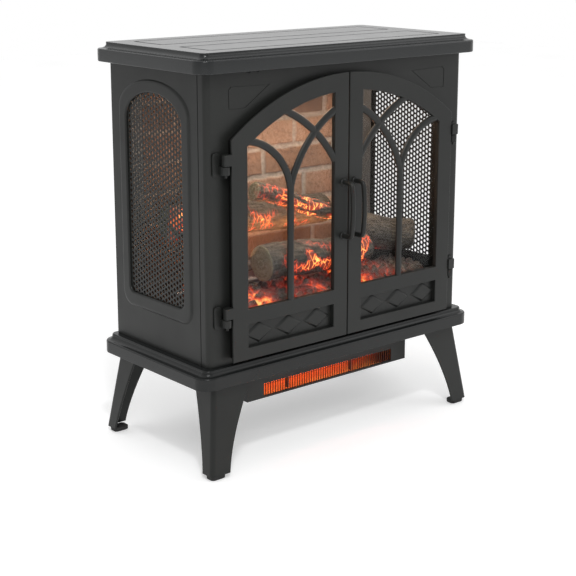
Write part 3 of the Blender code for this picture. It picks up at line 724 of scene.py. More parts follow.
# Section of the embossed surround: share of the way from moulding to window, and height above the sheet.
SURROUND = (
    (0.0, 0.0),
    (0.03, 0.0002),
    (0.07, 0.0011),
    (0.12, 0.0019),
    (0.19, 0.0023),
    (0.3, 0.0024),
    (0.78, 0.0024),
    (0.85, 0.0025),
    (0.9, 0.0023),
    (0.95, 0.0015),
    (0.97, 0.0002),
    (0.97, -0.0012),
    (0.95, -0.0014),
    (0.0, -0.0014),
)


def make_sides():
    for side, word in SIDES:
        outline = rectangle((SEAM_Y + 0.0016, BACK), (BODY_BOTTOM, BODY_TOP))
        skin = span_x(side, BODY_X - SHEET, BODY_X)
        sheet = plate("YZ", (outline, tombstone(*SIDE_MOULDING)), skin)
        rings = []
        for share, height in SURROUND:
            shape = [m + (w - m) * share for m, w in zip(SIDE_MOULDING, SIDE_WINDOW)]
            rings.append([(side * (BODY_X + height), y, z) for y, z in tombstone(*shape)])
        surround = loft(rings, wrap=True)
        lap = span_x(side, BODY_X - SHEET - 0.001, BODY_X - SHEET - 0.0001)
        near = (lap[0], SEAM_Y - 0.003, BODY_BOTTOM + 0.002)
        flange = slab(near, (lap[1], SEAM_Y + 0.006, BODY_TOP - 0.002), 0.0002, 1)
        shapes = [sheet, surround, flange]
        piece(f"{word}_side_sheet", shapes, PAINT, stands_for=(f"{word}_side_panel",))


def make_mesh_screens():
    """Round holes in staggered columns, running on behind the window's rim."""
    low_y, high_y, bottom, spring, rise, radius = SIDE_WINDOW
    border, margin = 0.0115, -0.001
    sides = low_y - border, high_y + border
    backing = tombstone(*sides, bottom - border, spring, rise + border, radius + border)
    middle, half = (low_y + high_y) / 2, (high_y - low_y) / 2 - margin
    pitch_y, pitch_z, hole = 0.0076, 0.0086, 0.003
    columns = int(half / pitch_y)
    holes = []
    for column in range(-columns, columns + 1):
        y = middle + column * pitch_y
        arch = spring + (rise - margin) * math.sqrt(max(0.0, 1 - ((y - middle) / half) ** 2))
        z = bottom + margin + (pitch_z / 2 if column % 2 else 0.0)
        while z < arch:
            holes.append(arc((y, z), hole, 0, 330, 12))
            z += pitch_z
    for side, word in SIDES:
        faces = span_x(side, BODY_X - 0.0028, BODY_X - 0.0016)
        sheet = plate("YZ", [backing, *holes], faces)
        piece(f"{word}_perforated_screen", [sheet], PAINT, stands_for=(f"{word}_mesh_screen",))


def screw(place, direction, radius=0.0032):
    """A low pan head."""
    profile = ((0.0, radius), (0.0006, radius), (0.0013, radius * 0.85), (0.0018, radius * 0.5))
    return turned(place, direction, profile)


def make_back():
    low, high = cad("back_panel")
    sheet = front_of(low, high)
    hole = rectangle((0.15, 0.215), (0.47, 0.58))
    inlet = arc((-0.19, 0.215), 0.0085, 0, 345, 24)
    loops = [sheet, hole, inlet]
    for row in range(9):
        z = 0.395 + row * 0.012
        loops.append(rounded_rectangle(0.062, 0.002, 0.0019, 6, (-0.115, z)))
    shapes = [plate("XZ", loops, (low.y, high.y), 0.0003, 1)]
    for x in (low.x + 0.012, 0.0, high.x - 0.012):
        for z in (low.z + 0.012, (low.z + high.z) / 2 - 0.06, high.z - 0.012):
            shapes.append(screw((x, high.y, z), (0, 1, 0)))
    rib, margin = 0.0016, 0.03
    for z in (low.z + 0.055, high.z - 0.03):
        near = (low.x + margin, high.y - 0.0005, z - 0.003)
        shapes.append(slab(near, (high.x - margin, high.y + rib, z + 0.003), 0.0009))
    piece("back_sheet", shapes, PAINT, stands_for=("back_panel",))


# Legs.
LEG_TOP_CORNER, LEG_FOOT_CORNER = (0.268, 0.13), (0.287, 0.1495)
PAD_SECTION = ((0.0056, 0.0), (0.0044, 0.0012), (0.0042, 0.0062), (0.0046, 0.0074), (0.0054, 0.008))


def leg_section(t, side_x, side_y, z):
    """An angle section at a share t of the height: a wide front face, a narrow flank and a rounded corner."""
    thick, nose = 0.004, 0.0075
    wide = 0.037 + 0.0385 * t**1.7
    flank = 0.026 + 0.0235 * t**1.5
    corner_x = LEG_FOOT_CORNER[0] + (LEG_TOP_CORNER[0] - LEG_FOOT_CORNER[0]) * t
    corner_y = LEG_FOOT_CORNER[1] + (LEG_TOP_CORNER[1] - LEG_FOOT_CORNER[1]) * t
    tip = 0.0012
    outline = [(-wide + tip, 0.0), *arc((-nose, -nose), nose, 90, 0, 9), (0.0, -flank + tip)]
    outline += [(-tip, -flank), (-thick + tip, -flank), (-thick, -flank + tip)]
    outline += arc((-nose, -nose), nose - thick, 0, 90, 9)
    outline += [(-wide + tip, -thick), (-wide, -thick + tip), (-wide, -tip)]
    return [(side_x * (corner_x + x), side_y * (corner_y + y), z) for x, y in outline]


def make_legs():
    steps = 26
    for side_y, row in ((-1, "front"), (1, "rear")):
        for side_x, word in SIDES:
            name = f"{row}_{word}"
            low, high = cad(f"{name}_leg")
            rings = []
            for step in range(steps + 1):
                t = step / steps
                rings.append(leg_section(t, side_x, side_y, low.z + (high.z - low.z) * t))
            piece(f"{name}_pressed_leg", [loft(rings)], PAINT, stands_for=(f"{name}_leg",))
            low, high = cad(f"{name}_foot_pad")
            centre = ((low.x + high.x) / 2 + side_x * 0.0022, (low.y + high.y) / 2 + side_y * 0.0026)
            half = ((high.x - low.x) / 2, (high.y - low.y) / 2)
            rings = []
            for inset, z in PAD_SECTION:
                shape = rounded_rectangle(half[0] - inset, half[1] - inset, 0.005, 6, centre)
                rings.append([(x, y, z) for x, y in shape])
            piece(f"{name}_rubber_foot", [loft(rings)], RUBBER, stands_for=(f"{name}_foot_pad",))


# Doors and hinges.
LIP, LIP_SETBACK = 0.0042, 0.005
# Share of the diamond's size, and height above the panel.
DIAMOND_SECTION = ((1.0, 0.0002), (0.97, -0.0004), (0.8, -0.0022), (0.74, -0.0025), (0.66, -0.0025))
BOSS_PROFILE = ((0.0, 0.0062), (0.0012, 0.0062), (0.0022, 0.0056), (0.003, 0.0042))
PIN_TIP = ((0.0, 0.001), (0.0006, 0.0019), (0.0015, 0.0022), (0.006, 0.0022))


def make_door(side, word):
    body = f"{word}_door"
    inner_edge = abs(cad(f"{word}_door_frame")[0 if side > 0 else 1].x)
    window = mirrored(under_arch(STILE_INNER, STILE_OUTER, WINDOW_BOTTOM, ARCH_R - RAIL), side)
    panel = mirrored(rectangle((STILE_INNER, STILE_OUTER), (PANEL_BOTTOM, PANEL_TOP)), side)
    outline, setback, inside = (
        mirrored(under_arch(inner_edge + d, DOOR_X - d, DOOR_BOTTOM + d, ARCH_R - d, 40), side)
        for d in (0.0, LIP_SETBACK, LIP_SETBACK + 0.006)
    )
    skin_back = DOOR_FRONT + FRAME_SKIN
    shapes = [
        plate("XZ", (outline, window, panel), (DOOR_FRONT, DOOR_FRONT + LIP), 0.0012, 3),
        plate("XZ", (setback, window, panel), (DOOR_FRONT + LIP - 0.0006, skin_back), 0.0002, 1),
        plate("XZ", (setback, inside), (skin_back - 0.0006, DOOR_BACK), 0.0004),
    ]
    # painted shade: the rim faces under the arched lip and beyond the stiles, and the whole back plate, take
    # the near-black door edge material
    for shape in shapes[1:]:
        for face in shape.polygons:
            out = side * face.center.x
            above = face.center.z - ARCH_Z
            under_lip = above > 0 and math.hypot(out, above) > ARCH_R - LIP_SETBACK - 0.003
            edge = under_lip or out > STILE_OUTER + 0.02 or out < STILE_INNER - 0.012
            face.material_index = 1 if edge or shape is shapes[2] else 0
    bar_y = DOOR_FRONT + FRAME_SKIN / 2
    flatten = Matrix.Translation((0.0, bar_y, 0.0)) @ Matrix.Diagonal((1.0, BAR_DEPTH, 1.0, 1.0))
    mullion = ((MULLION_X, WINDOW_BOTTOM - 0.003), (MULLION_X, 0.448))
    outer = arc((0.216, 0.426), 0.098, 172, 99, 22)
    inner = arc((-0.06, 0.39), 0.187, 17, 62.5, 22)
    crossing = arc((0.2145, 0.361), 0.219, 148.5, 112, 22)
    for path in (mullion, outer, inner, crossing):
        bar = tube([(side * x, 0.0, z) for x, z in path], BAR_R)
        bar.transform(flatten)
        shapes.append(bar)
    piece(f"{word}_door_casting", shapes, PAINT, body, (f"{word}_door_frame",), (PAINTED_SHADE_EDGE,))

    low, high = cad(f"{word}_door_kick_panel")
    shapes = [plate("XZ", (front_of(low, high),), (low.y, high.y), 0.0003, 1)]
    middle_z, half_x, half_z = 0.22, 0.0284, 0.017
    for x in (0.062, 0.121, 0.181):
        rings = []
        for share, lift in DIAMOND_SECTION:
            reach_x, reach_z = half_x * share, half_z * share
            corners = ((reach_x, 0), (0, reach_z), (-reach_x, 0), (0, -reach_z))
            rings.append([(side * x + dx, low.y + lift, middle_z + dz) for dx, dz in corners])
        shapes.append(loft(rings))
    piece(f"{word}_diamond_panel", shapes, PAINT, body, (f"{word}_door_kick_panel",))

    make_handle(side, word, body)
    for row in ("upper", "lower"):
        make_hinge(side, word, row, body)


def make_handle(side, word, body):
    low, high = cad(f"{word}_door_handle")
    x, middle, half = side * 0.0125, (low.z + high.z) / 2, 0.044
    foot, reach, bend, bow = DOOR_FRONT - GAP, 0.022, 0.007, 0.0025
    path = [(foot, half)]
    for a in quarter_turn(8):
        path.append((foot - reach + bend + bend * -math.sin(a), half - bend + bend * math.cos(a)))
    upper_half = path[::-1]
    for t in [-1 + i / 6 for i in range(1, 12)]:
        path.append((foot - reach - bow * (1 - t * t), -(half - bend) * t))
    path += [(y, -z) for y, z in upper_half]
    shapes = [tube([(x, y, middle + z) for y, z in path], 0.004, 6)]
    for z in (middle - half, middle + half):
        shapes.append(turned((x, foot, z), (0, -1, 0), BOSS_PROFILE, 28))
    piece(f"{word}_pull_handle", shapes, PAINT, body, (f"{word}_door_handle",))


def make_hinge(side, word, row, body):
    node = f"{word}_{row}_hinge"
    low, high = cad(f"{node}_block")
    x, y = side * 0.2452, (low.y + high.y) / 2
    barrel = (high.y - low.y) / 2
    edge = DOOR_X + GAP
    outline = [(edge, y + barrel), *arc((abs(x), y), barrel, 90, 0, 9)]
    outline += [*arc((abs(x) + barrel - 0.0016, y - barrel + 0.0016), 0.0016, 0, -90, 5), (edge, y - barrel)]
    block = plate("XY", (mirrored(outline, side),), (low.z, high.z), 0.0007, 2)
    tongue_x = span_x(side, DOOR_X - LIP_SETBACK - 0.001, DOOR_X + 0.001)
    near = (tongue_x[0], DOOR_FRONT + LIP + 0.0003, low.z + 0.001)
    tongue = slab(near, (tongue_x[1], high.y, high.z - 0.001), 0.0003, 1)
    piece(f"{node}_leaf", [block, tongue], PAINT, body, (f"{node}_block",))
    low, high = cad(f"{node}_bracket")
    knuckle_top = cad(f"{node}_block")[0].z - 0.0008
    bottom = knuckle_top - 0.013
    plate_x = span_x(side, abs(x) + 0.005, BODY_X - CORNER_R)
    centre = ((plate_x[0] + plate_x[1]) / 2, (low.z + 0.0025 + high.z) / 2)
    half = ((plate_x[1] - plate_x[0]) / 2, (high.z - low.z - 0.0025) / 2)
    shapes = [plate("XZ", (rounded_rectangle(*half, 0.004, 8, centre),), (high.y - 0.003, high.y), 0.0006)]
    arm_x = span_x(side, abs(x) - 0.0045, abs(x) + 0.007)
    shapes.append(slab((arm_x[0], y, bottom), (arm_x[1], high.y - 0.001, knuckle_top), 0.0008))
    knuckle = ((0.0, barrel - 0.0012), (0.0004, barrel - 0.0004), (0.0012, barrel))
    knuckle += ((0.0118, barrel), (0.0126, barrel - 0.0004), (0.013, barrel - 0.0012))
    shapes.append(turned((x, y, bottom), (0, 0, 1), knuckle))
    shapes.append(turned((x, y, bottom - 0.0045), (0, 0, 1), PIN_TIP, 20))
    shapes.append(turned((x, y, knuckle_top - 0.001), (0, 0, 1), ((0.0, 0.0022), (0.012, 0.0022)), 16))
    piece(f"{node}_plate", shapes, PAINT, stands_for=(f"{node}_bracket",))


# Firebox.
def smooth_step(value, low, high):
    share = min(1.0, max(0.0, (value - low) / (high - low)))
    return share * share * (3 - 2 * share)


def point_values(mesh, name, values):
    layer = mesh.attributes.new(name, "FLOAT", "POINT")
    layer.data.foreach_set("value", values)


def relief(start, end, spacing, corner):
    """A sheet of squares over a span of two axes: corner(u, v, steps in from the rim) gives each point."""
    across, upward = (int((far - near) / spacing) for near, far in zip(start, end))
    work = bmesh.new()
    rows = []
    for j in range(upward + 1):
        v = start[1] + (end[1] - start[1]) * j / upward
        line = []
        for i in range(across + 1):
            u = start[0] + (end[0] - start[0]) * i / across
            line.append(work.verts.new(corner(u, v, min(i, across - i, j, upward - j))))
        rows.append(line)
    for near, far in zip(rows, rows[1:]):
        for square in zip(near, near[1:], far[1:], far):
            work.faces.new(square)
    return mesh_of(work, 180.0)


def make_brick_wall():
    """A relief of bricks in a running bond, each with its own tone, height and worn edge."""
    low, high = cad("brick_back_wall")
    course, length, joint, raise_by, worn = 0.05, 0.164, 0.0042, 0.003, 0.0016
    dice = random.Random(7)
    noise.seed_set(7)  # noise_vector is seeded from the clock until this is set
    tones = [[dice.random() for _ in range(9)] for _ in range(12)]
    values = {"tone": [], "mortar": [], "painted_shade": []}

    def corner(x, z, _):
        wobble = noise.noise_vector(Vector((x * 60, z * 60, 3.0))) * worn
        row = int((z - low.z + wobble.z) / course)
        shifted = x + wobble.x - low.x + length * (0.5 if row % 2 else 0.0) + row * 0.011
        column = int(shifted / length)
        along = abs((shifted / length - column) - 0.5) * length
        above = abs(((z - low.z + wobble.z) / course - row) - 0.5) * course
        edge = min(length / 2 - joint - along, course / 2 - joint - above)
        tone = tones[row % 12][column % 9]
        raised = smooth_step(edge, -0.0014, 0.0016)
        rough = noise.fractal(Vector((x * 90, z * 90, tone * 20)), 0.9, 2.1, 4) * 0.0007
        height = raise_by * raised * (0.72 + 0.28 * tone) + rough
        values["tone"].append(tone)
        values["mortar"].append(1.0 - raised)
        # painted shade: darkest over the top courses and towards the left end of the wall
        top_shade = 0.75 * smooth_step(z, 0.44, 0.56)
        values["painted_shade"].append(max(top_shade, 1.0 - smooth_step(x, -0.13, -0.02)))
        return x, high.y - 0.0006 - max(0.0, height), z

    mesh = relief((low.x, low.z), (high.x, high.z), 0.0019, corner)
    for name, made in values.items():
        point_values(mesh, name, made)
    piece("brick_relief", [mesh], BRICK, stands_for=("brick_back_wall",))
    board = plate("XZ", (front_of(low, high),), (high.y - 0.0005, high.y), 0.0001, 1)
    piece("brick_backing_board", [board], SOOT)
    for side, word in SIDES:
        cheek = [(0.232, 0.1), (0.263, 0.085), (0.264, 0.0858), (0.233, 0.101)]
        piece(f"{word}_firebox_cheek", [plate("XY", (mirrored(cheek, side),), (low.z, high.z))], GREY_LINING)


LOGS = (
    # name, start, end, radius, hot spots as (share of the length, angle in degrees, spread, strength)
    (
        "log_front", (-0.105, -0.048, 0.3), (0.11, -0.06, 0.298), 0.034,
        ((0.42, -15, 0.75, 1.3), (0.72, -10, 0.6, 1.3), (0.16, 20, 0.45, 0.4), (0.93, 0, 0.6, 1.2)),
    ),
    (
        "log_left", (-0.232, -0.06, 0.301), (-0.15, 0.012, 0.306), 0.036,
        ((0.6, 60, 0.5, 0.5), (0.05, 100, 0.5, 0.6)),
    ),
    (
        "log_right", (0.13, 0.006, 0.316), (0.235, -0.05, 0.3), 0.035,
        ((0.15, 200, 0.6, 0.9), (0.5, 250, 0.5, 0.5)),
    ),
    (
        "log_rear", (-0.215, 0.056, 0.365), (0.12, 0.06, 0.345), 0.033,
        ((0.12, 10, 0.8, 1.5), (0.32, 0, 0.6, 1.5), (0.48, -10, 0.5, 1.0), (0.75, -20, 0.5, 0.6)),
    ),
    (
        "log_branch", (-0.085, -0.004, 0.412), (0.085, -0.024, 0.354), 0.018,
        ((0.15, 20, 1.0, 0.15), (0.62, 0, 1.6, 1.6), (0.92, 10, 2.0, 1.6)),
    ),
)


def make_log(name, start, end, radius, hot, seed):
    start, end = Vector(start), Vector(end)
    length = (end - start).length
    axis = (end - start).normalized()
    up = (Vector((0, 0, 1)) - axis * axis.z).normalized()
    out = axis.cross(up)
    around, along = 84, int(length / 0.0019)
    shift = Vector((seed * 3.7, seed * 1.9, seed * 5.3))
    work = bmesh.new()
    chart = work.loops.layers.uv.new("bark")
    rings, heat = [], []

    def surface(t, angle):
        s = t * length
        round_place = Vector((math.cos(angle), math.sin(angle), 0.0))
        lump = noise.noise(round_place * 0.9 + Vector((0, 0, s * 14)) + shift)
        cell = noise.voronoi(round_place * radius * 95 + Vector((0, 0, s * 55)) + shift)[0]
        bark = smooth_step(cell[1] - cell[0], 0.0, 0.22) - 1.0
        fine = noise.fractal(round_place * radius * 300 + Vector((0, 0, s * 110)) + shift, 0.8, 2.0, 3)
        size = radius * (1 - 0.14 * t) * (0.9 + 0.1 * lump)
        return size + 0.0016 * bark + 0.0006 * fine

    def warmth(t, angle):
        total = 0.0
        for place, degrees, spread, strength in hot:
            turn = (angle - math.radians(degrees) + math.pi) % (2 * math.pi) - math.pi
            far = ((t - place) / (0.28 * max(0.6, spread))) ** 2 + (turn / (1.5 * spread)) ** 2
            total = max(total, strength * math.exp(-far))
        patch = noise.noise(Vector((math.cos(angle) * 1.4, math.sin(angle) * 1.4, t * length * 38)) + shift)
        return total * smooth_step(patch, -0.22, 0.3)

    for i in range(along + 1):
        t = i / along
        sway = noise.noise(Vector((t * 2.2, seed, 0.0))) * 0.006
        centre = start.lerp(end, t) + up * sway + out * sway * 0.7
        ring = []
        for j in range(around):
            angle = 2 * math.pi * j / around
            reach = surface(t, angle)
            ring.append(work.verts.new(centre + (out * math.cos(angle) + up * math.sin(angle)) * reach))
            heat.append(warmth(t, angle))
        rings.append((ring, centre))
    circumference = 2 * math.pi * radius
    for i, ((near, _), (far, _)) in enumerate(zip(rings, rings[1:])):
        for j in range(around):
            k = (j + 1) % around
            face = work.faces.new((near[j], near[k], far[k], far[j]))
            corners = ((j, i), (j + 1, i), (j + 1, i + 1), (j, i + 1))
            for loop, (u, v) in zip(face.loops, corners):
                loop[chart].uv = (circumference * u / around, length * v / along)
    for (ring, centre), outward, base in ((rings[0], -1, 0.0), (rings[-1], 1, 1.0)):
        inner = ring
        for share, dome in ((0.93, 0.0012), (0.7, 0.0016), (0.45, 0.0012), (0.2, 0.0016), (0.03, 0.0014)):
            ripple = [noise.noise(Vector((share * 9, j * 0.3, base + seed))) * 0.001 for j in range(around)]
            made = [
                work.verts.new(centre + (v.co - centre) * share + axis * outward * (dome + ripple[j]))
                for j, v in enumerate(ring)
            ]
            heat.extend([warmth(base, 2 * math.pi * j / around) * 1.2 for j in range(around)])
            for j in range(around):
                k = (j + 1) % around
                face = work.faces.new((inner[j], inner[k], made[k], made[j]))
                face.material_index = 1
                for loop in face.loops:
                    far = (loop.vert.co - centre).length
                    loop[chart].uv = (far * 4.0, 0.02 * math.sin(far * 900))
            inner = made
        work.faces.new(inner).material_index = 1
    mesh = mesh_of(work, 60.0)
    point_values(mesh, "fire_glow", heat)
    piece(f"{name}_bark", [mesh], BARK, stands_for=(name,), more=(CUT_WOOD,))


def make_ember_bed():
    """Lumps of ash-crusted coal in a heap, with glowing gaps between them."""
    low, high = cad("ember_bed")
    crest = ((low.y, 0.237), (-0.08, 0.255), (-0.045, 0.259), (-0.02, 0.258), (high.y, 0.244))
    spots = ((-0.148, 1.0), (-0.124, 0.9), (-0.06, 0.35), (-0.01, 0.6))
    spots += ((0.066, 0.9), (0.092, 0.6), (0.15, 0.4))
    heat = []

    def corner(x, y, edge):
        for (y0, z0), (y1, z1) in zip(crest, crest[1:]):
            if y0 <= y <= y1 + 1e-9:
                base = z0 + (z1 - z0) * (y - y0) / (y1 - y0)
        far = noise.voronoi(Vector((x * 62, y * 70, 2.0)))[0]
        small = noise.voronoi(Vector((x * 150, y * 150, 5.0)))[0]
        gap = far[1] - far[0]
        dome = smooth_step(gap, 0.0, 0.55)
        swell = noise.noise(Vector((x * 22, y * 22, 8.0))) * 0.004
        rough = noise.fractal(Vector((x * 210, y * 210, 1.0)), 0.9, 2.0, 3) * 0.0008
        height = base + 0.0085 * (dome - 0.55) + swell + rough + 0.0012 * min(1.0, small[1] - small[0])
        shoulder = math.sqrt(1 - (1 - min(1.0, edge / 11)) ** 2)
        height = low.z + (height - low.z) * shoulder
        lively = sum(force * math.exp(-(((x - place) / 0.02) ** 2)) for place, force in spots)
        patch = smooth_step(noise.noise(Vector((x * 40, y * 40, 4.0))), -0.15, 0.45)
        crease = 1.0 - smooth_step(gap, 0.04, 0.42)
        glow = (0.05 + 0.62 * lively) * crease + 0.4 * lively * patch
        heat.append(min(1.1, glow) * smooth_step(shoulder, 0.45, 0.95))
        return x, y, max(low.z, height)

    mesh = relief((low.x, low.y), (high.x, high.y), 0.0017, corner)
    point_values(mesh, "fire_glow", heat)
    piece("ember_heap", [mesh], EMBER, stands_for=("ember_bed",))


# Heater.
def make_heater():
    low, high = cad("heater_housing")
    wall, grille_x = 0.0015, 0.143
    mouth = rectangle((-grille_x, grille_x), (0.095, 0.1165))
    loops = [front_of(low, high), mouth]
    count = 55
    pitch = 2 * grille_x / count
    for index in range(count):
        centre = (-grille_x + pitch * (index + 0.5), 0.12)
        loops.append(arc(centre, 0.0009, 0, 315, 8))
    shapes = [plate("XZ", loops, (low.y, low.y + wall), 0.0002, 1)]
    intake = [front_of(low, high)]
    for index in range(30):
        x = -0.116 + 0.008 * index
        intake.append(rounded_rectangle(0.0024, 0.013, 0.0022, 5, (x, 0.119)))
    shapes.append(plate("XZ", intake, (high.y - wall, high.y), 0.0002, 1))
    floor = rectangle((low.x, high.x), (low.y + wall, high.y - wall))
    shapes.append(plate("XY", (floor,), (low.z, low.z + wall), 0.0002, 1))
    end = rectangle((low.y + wall, high.y - wall), (low.z + wall, high.z))
    for x in (low.x, high.x - wall):
        shapes.append(plate("YZ", (end,), (x, x + wall), 0.0002, 1))
    for x in (low.x + 0.012, high.x - 0.012):
        shapes.append(screw((x, low.y, 0.133), (0, -1, 0), 0.0026))
    piece("heater_casing", shapes, PAINT, stands_for=("heater_housing",))

    low, high = cad("heater_grille")
    loops = [front_of(low, high)]
    for index in range(count):
        start = -grille_x + pitch * (index + 0.07)
        loops.append(rectangle((start, start + pitch * 0.86), (0.0962, 0.1158)))
    shapes = [plate("XZ", loops, (low.y, high.y))]
    for x in (-0.09, 0.05):
        near = (x - 0.0013, low.y + 0.0002, 0.0975)
        shapes.append(slab(near, (x + 0.0013, high.y + 0.006, 0.1155), 0.0004))
    piece("heater_slats", shapes, PAINT, stands_for=("heater_grille",))

    for row in ("front", "rear"):
        low, high = cad(f"{row}_quartz_tube")
        y, z = (low.y + high.y) / 2, (low.z + high.z) / 2
        turns, steps = 66, 10
        coil = []
        for i in range(turns * steps):
            a = 2 * math.pi * i / steps
            x = low.x + 0.014 + (high.x - low.x - 0.028) * i / (turns * steps)
            coil.append((x, y + 0.0034 * math.cos(a), z + 0.0034 * math.sin(a)))
        spiral = tube(coil, 0.00065, 1)
        length = high.x - low.x
        profile = ((0.0, 0.0048), (0.0008, 0.0055), (length - 0.0008, 0.0055), (length, 0.0048))
        shapes = [spiral, coloured(turned((low.x, y, z), (1, 0, 0), profile, 28), 1)]
        cap = ((0.0, 0.006), (0.0008, 0.0066), (0.0092, 0.0066), (0.01, 0.006))
        for x in (low.x - 0.0006, high.x - 0.0094):
            shapes.append(coloured(turned((x, y, z), (1, 0, 0), cap, 28), 2))
        node = f"{row}_quartz_tube"
        piece(f"{row}_heating_element", shapes, COIL, stands_for=(node,), more=(QUARTZ, STEEL))


# Controls.
BUTTONS = ("flame_button", "heat_button", "timer_button")


def make_controls():
    low, high = cad("control_panel")
    x, z = 0.1825, 0.563
    centre = ((low.x + high.x) / 2, (low.z + high.z) / 2)
    outline = rounded_rectangle((high.x - low.x) / 2, (high.z - low.z) / 2, 0.005, 8, centre)
    slot = rounded_rectangle(0.0115, 0.0155, 0.0015, 5, (x, z))
    loops = [outline, slot]
    button_heights = [sum(corner.z for corner in cad(name)) / 2 for name in BUTTONS]
    for middle in button_heights:
        loops.append(arc((x, middle), 0.007, 0, 348.75, 32))
    shapes = [plate("XZ", loops, (low.y, high.y), 0.0009, 3)]
    frame_loops = (rounded_rectangle(0.015, 0.019, 0.003, 6, (x, z)), slot)
    shapes.append(plate("XZ", frame_loops, (high.y - 0.001, high.y + 0.0012), 0.0005))
    for middle in button_heights:
        loops = (arc((x, middle), 0.009, 0, 348.75, 32), arc((x, middle), 0.007, 0, 348.75, 32))
        shapes.append(plate("XZ", loops, (high.y - 0.001, high.y + 0.0009), 0.0004))
    for dx, dz in ((-1, -1), (-1, 1), (1, -1), (1, 1)):
        place = (centre[0] + dx * 0.0345, high.y, centre[1] + dz * 0.057)
        shapes.append(screw(place, (0, 1, 0), 0.0024))
    piece("control_bezel", shapes, PLASTIC, stands_for=("control_panel",))

    low, high = cad("power_switch")
    profile = [(low.y, low.z)]
    face = BACK + GAP
    profile += [(face + 0.005, low.z + 0.0004), (face + 0.0056, low.z + 0.006), (face + 0.0062, z)]
    profile += [(face + 0.0068, high.z - 0.006), (face + 0.0085, high.z), (low.y, high.z)]
    rocker = plate("YZ", (profile,), (low.x, high.x), 0.0007)
    stroke = rectangle((x - 0.0006, x + 0.0006), (z + 0.004, z + 0.0095))
    mark = plate("XZ", (stroke,), (face + 0.006, face + 0.0079), 0.0001)
    piece("rocker_switch", [rocker, mark], SHINY_PLASTIC, "power_switch", ("power_switch",))

    for name in BUTTONS:
        low, high = cad(name)
        radius, middle = (high.x - low.x) / 2, (low.z + high.z) / 2
        reach = high.y - low.y
        profile = ((0.0, radius - 0.0004), (0.0004, radius), (reach - 0.0012, radius))
        profile += ((reach - 0.0004, radius - 0.0004), (reach, radius - 0.0014))
        profile += ((reach - 0.0001, radius * 0.6), (reach - 0.0006, radius * 0.25), (reach - 0.0007, 0.0003))
        cap = turned((x, low.y, middle), (0, 1, 0), profile, 40)
        piece(f"{name}_cap", [cap], SHINY_PLASTIC, name, (name,))

    low, high = cad("power_inlet_gland")
    centre = ((low.x + high.x) / 2, (low.z + high.z) / 2)
    face = BACK + GAP
    profile = ((0.0, 0.0042), (0.0, 0.0126), (0.0006, 0.013), (0.003, 0.013))
    profile += ((0.004, 0.0118), (0.004, 0.0072), (0.0034, 0.006), (0.0034, 0.0042))
    ring = turned((centre[0], face, centre[1]), (0, 1, 0), profile, 40)
    sleeve = ((0.0, 0.005), (0.0, 0.008), (0.0084, 0.008), (0.0084, 0.005))
    neck = turned((centre[0], low.y, centre[1]), (0, 1, 0), sleeve, 32)
    piece("cable_gland", [ring, neck], PLASTIC, stands_for=("power_inlet_gland",))


def carry_over():
    """CAD nodes whose shape is right keep it, and get their finish here."""
    finishes = {
        GLASS: ("left_door_glass", "right_door_glass"),
        SOOT: ("firebox_floor", "firebox_ceiling"),
        REFLECTOR: ("heater_reflector",),
        STEEL: ("blower_motor", "flame_motor", "flame_spindle"),
        PLASTIC: ("blower_wheel", "signal_sensor", "door_catch"),
        BOARD: ("control_board", "led_board"),
    }
    for finish, names in finishes.items():
        for name in names:
            mesh = frame["nodes"][name].data
            mesh.materials.clear()
            mesh.materials.append(finish)


# Studio.
def area_light(name, place, target, size, power, colour=(1.0, 1.0, 1.0)):
    lamp = bpy.data.lights.new(name, "AREA")
    lamp.shape = "RECTANGLE"
    lamp.size, lamp.size_y = size
    lamp.energy = power
    lamp.color = colour
    made = bpy.data.objects.new(name, lamp)
    made.location = place
    made.rotation_euler = (Vector(target) - Vector(place)).to_track_quat("-Z", "Y").to_euler()
    bpy.context.scene.collection.objects.link(made)
    return made


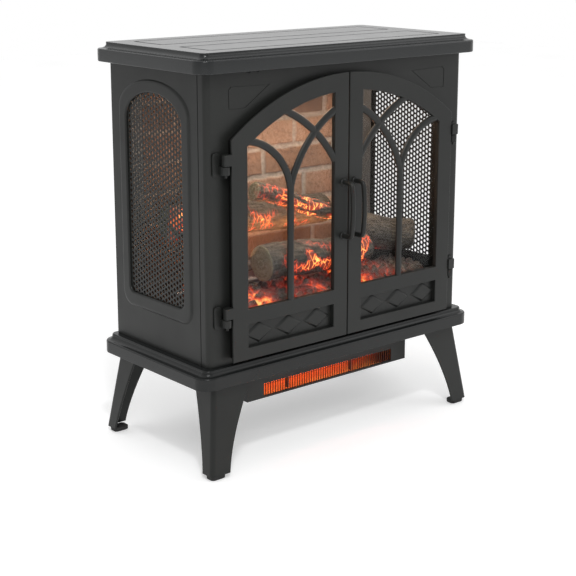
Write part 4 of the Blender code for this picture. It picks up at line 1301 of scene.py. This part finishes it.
def light_the_world(tree):
    """A white room: brightest behind and above the stove, darker on the photographer's side."""
    def add(kind, **values):
        made = tree.nodes.new("ShaderNode" + kind)
        for name, value in values.items():
            made.inputs[name.replace("_", " ")].default_value = value
        return made

    background = tree.nodes["Background"]
    background.inputs["Color"].default_value = (1.0, 1.0, 1.0, 1.0)
    place, path = add("TexCoord"), add("LightPath")
    facing = add("VectorMath")
    facing.operation = "DOT_PRODUCT"
    facing.inputs[1].default_value = (0.45, 0.62, 0.5)
    span = add("MapRange", From_Min=-0.85, From_Max=0.75, To_Min=0.34, To_Max=0.98)
    choose = add("Mix", B=1.0)
    for output, socket in (
        (place.outputs["Generated"], facing.inputs[0]),
        (facing.outputs["Value"], span.inputs["Value"]),
        (path.outputs["Is Camera Ray"], choose.inputs["Factor"]),
        (span.outputs["Result"], choose.inputs["A"]),
        (choose.outputs["Result"], background.inputs["Strength"]),
    ):
        tree.links.new(output, socket)


def make_studio():
    work = bmesh.new()
    bmesh.ops.create_grid(work, x_segments=8, y_segments=8, size=6.0)
    mesh = mesh_of(work)
    mesh.materials.append(make_floor())
    floor = bpy.data.objects.new("studio_floor", mesh)
    bpy.context.scene.collection.objects.link(floor)
    world = bpy.data.worlds.new("studio")
    bpy.context.scene.world = world
    world.use_nodes = True
    light_the_world(world.node_tree)
    bpy.context.scene.view_settings.view_transform = "Standard"
    middle = (0.0, 0.0, 0.35)
    area_light("key_softbox", (-1.6, -2.2, 2.2), middle, (1.4, 1.4), 25.0)
    area_light("fill_softbox", (2.2, -1.8, 1.4), middle, (1.6, 1.6), 10.0)
    area_light("corner_sparkle", (-1.1, -1.5, 2.4), middle, (0.22, 0.22), 18.0)
    warm = (1.0, 0.72, 0.52)
    leds = area_light("firebox_top_leds", (0.0, -0.045, 0.6), (0.0, -0.01, 0.3), (0.4, 0.05), 1.4, warm)
    embers = area_light(
        "ember_glow", (0.0, 0.004, 0.3), (0.0, 0.06, 0.42), (0.3, 0.02), 0.5, (1.0, 0.4, 0.16)
    )
    leds.visible_camera = embers.visible_camera = False


def make_camera():
    """The photograph's viewpoint, worked out from the cabinet's known edges."""
    camera = bpy.data.objects.new("camera", bpy.data.cameras.new("camera"))
    camera.data.sensor_width = 36.0
    camera.data.lens = 84.59
    camera.data.shift_y = -0.0833
    camera.location = (-1.4503, -1.7039, 0.8436)
    yaw, pitch = math.radians(40.066), math.radians(13.233)
    camera.rotation_euler = (math.pi / 2 - pitch, 0.0, -yaw)
    bpy.context.scene.collection.objects.link(camera)
    bpy.context.scene.camera = camera


make_lid()
make_plinth()
make_fascia()
make_sides()
make_mesh_screens()
make_back()
make_legs()
for door_side, door_word in SIDES:
    make_door(door_side, door_word)
make_brick_wall()
for log_seed, log_facts in enumerate(LOGS):
    make_log(*log_facts, log_seed + 1)
make_ember_bed()
make_heater()
make_controls()
carry_over()
make_studio()
make_camera()
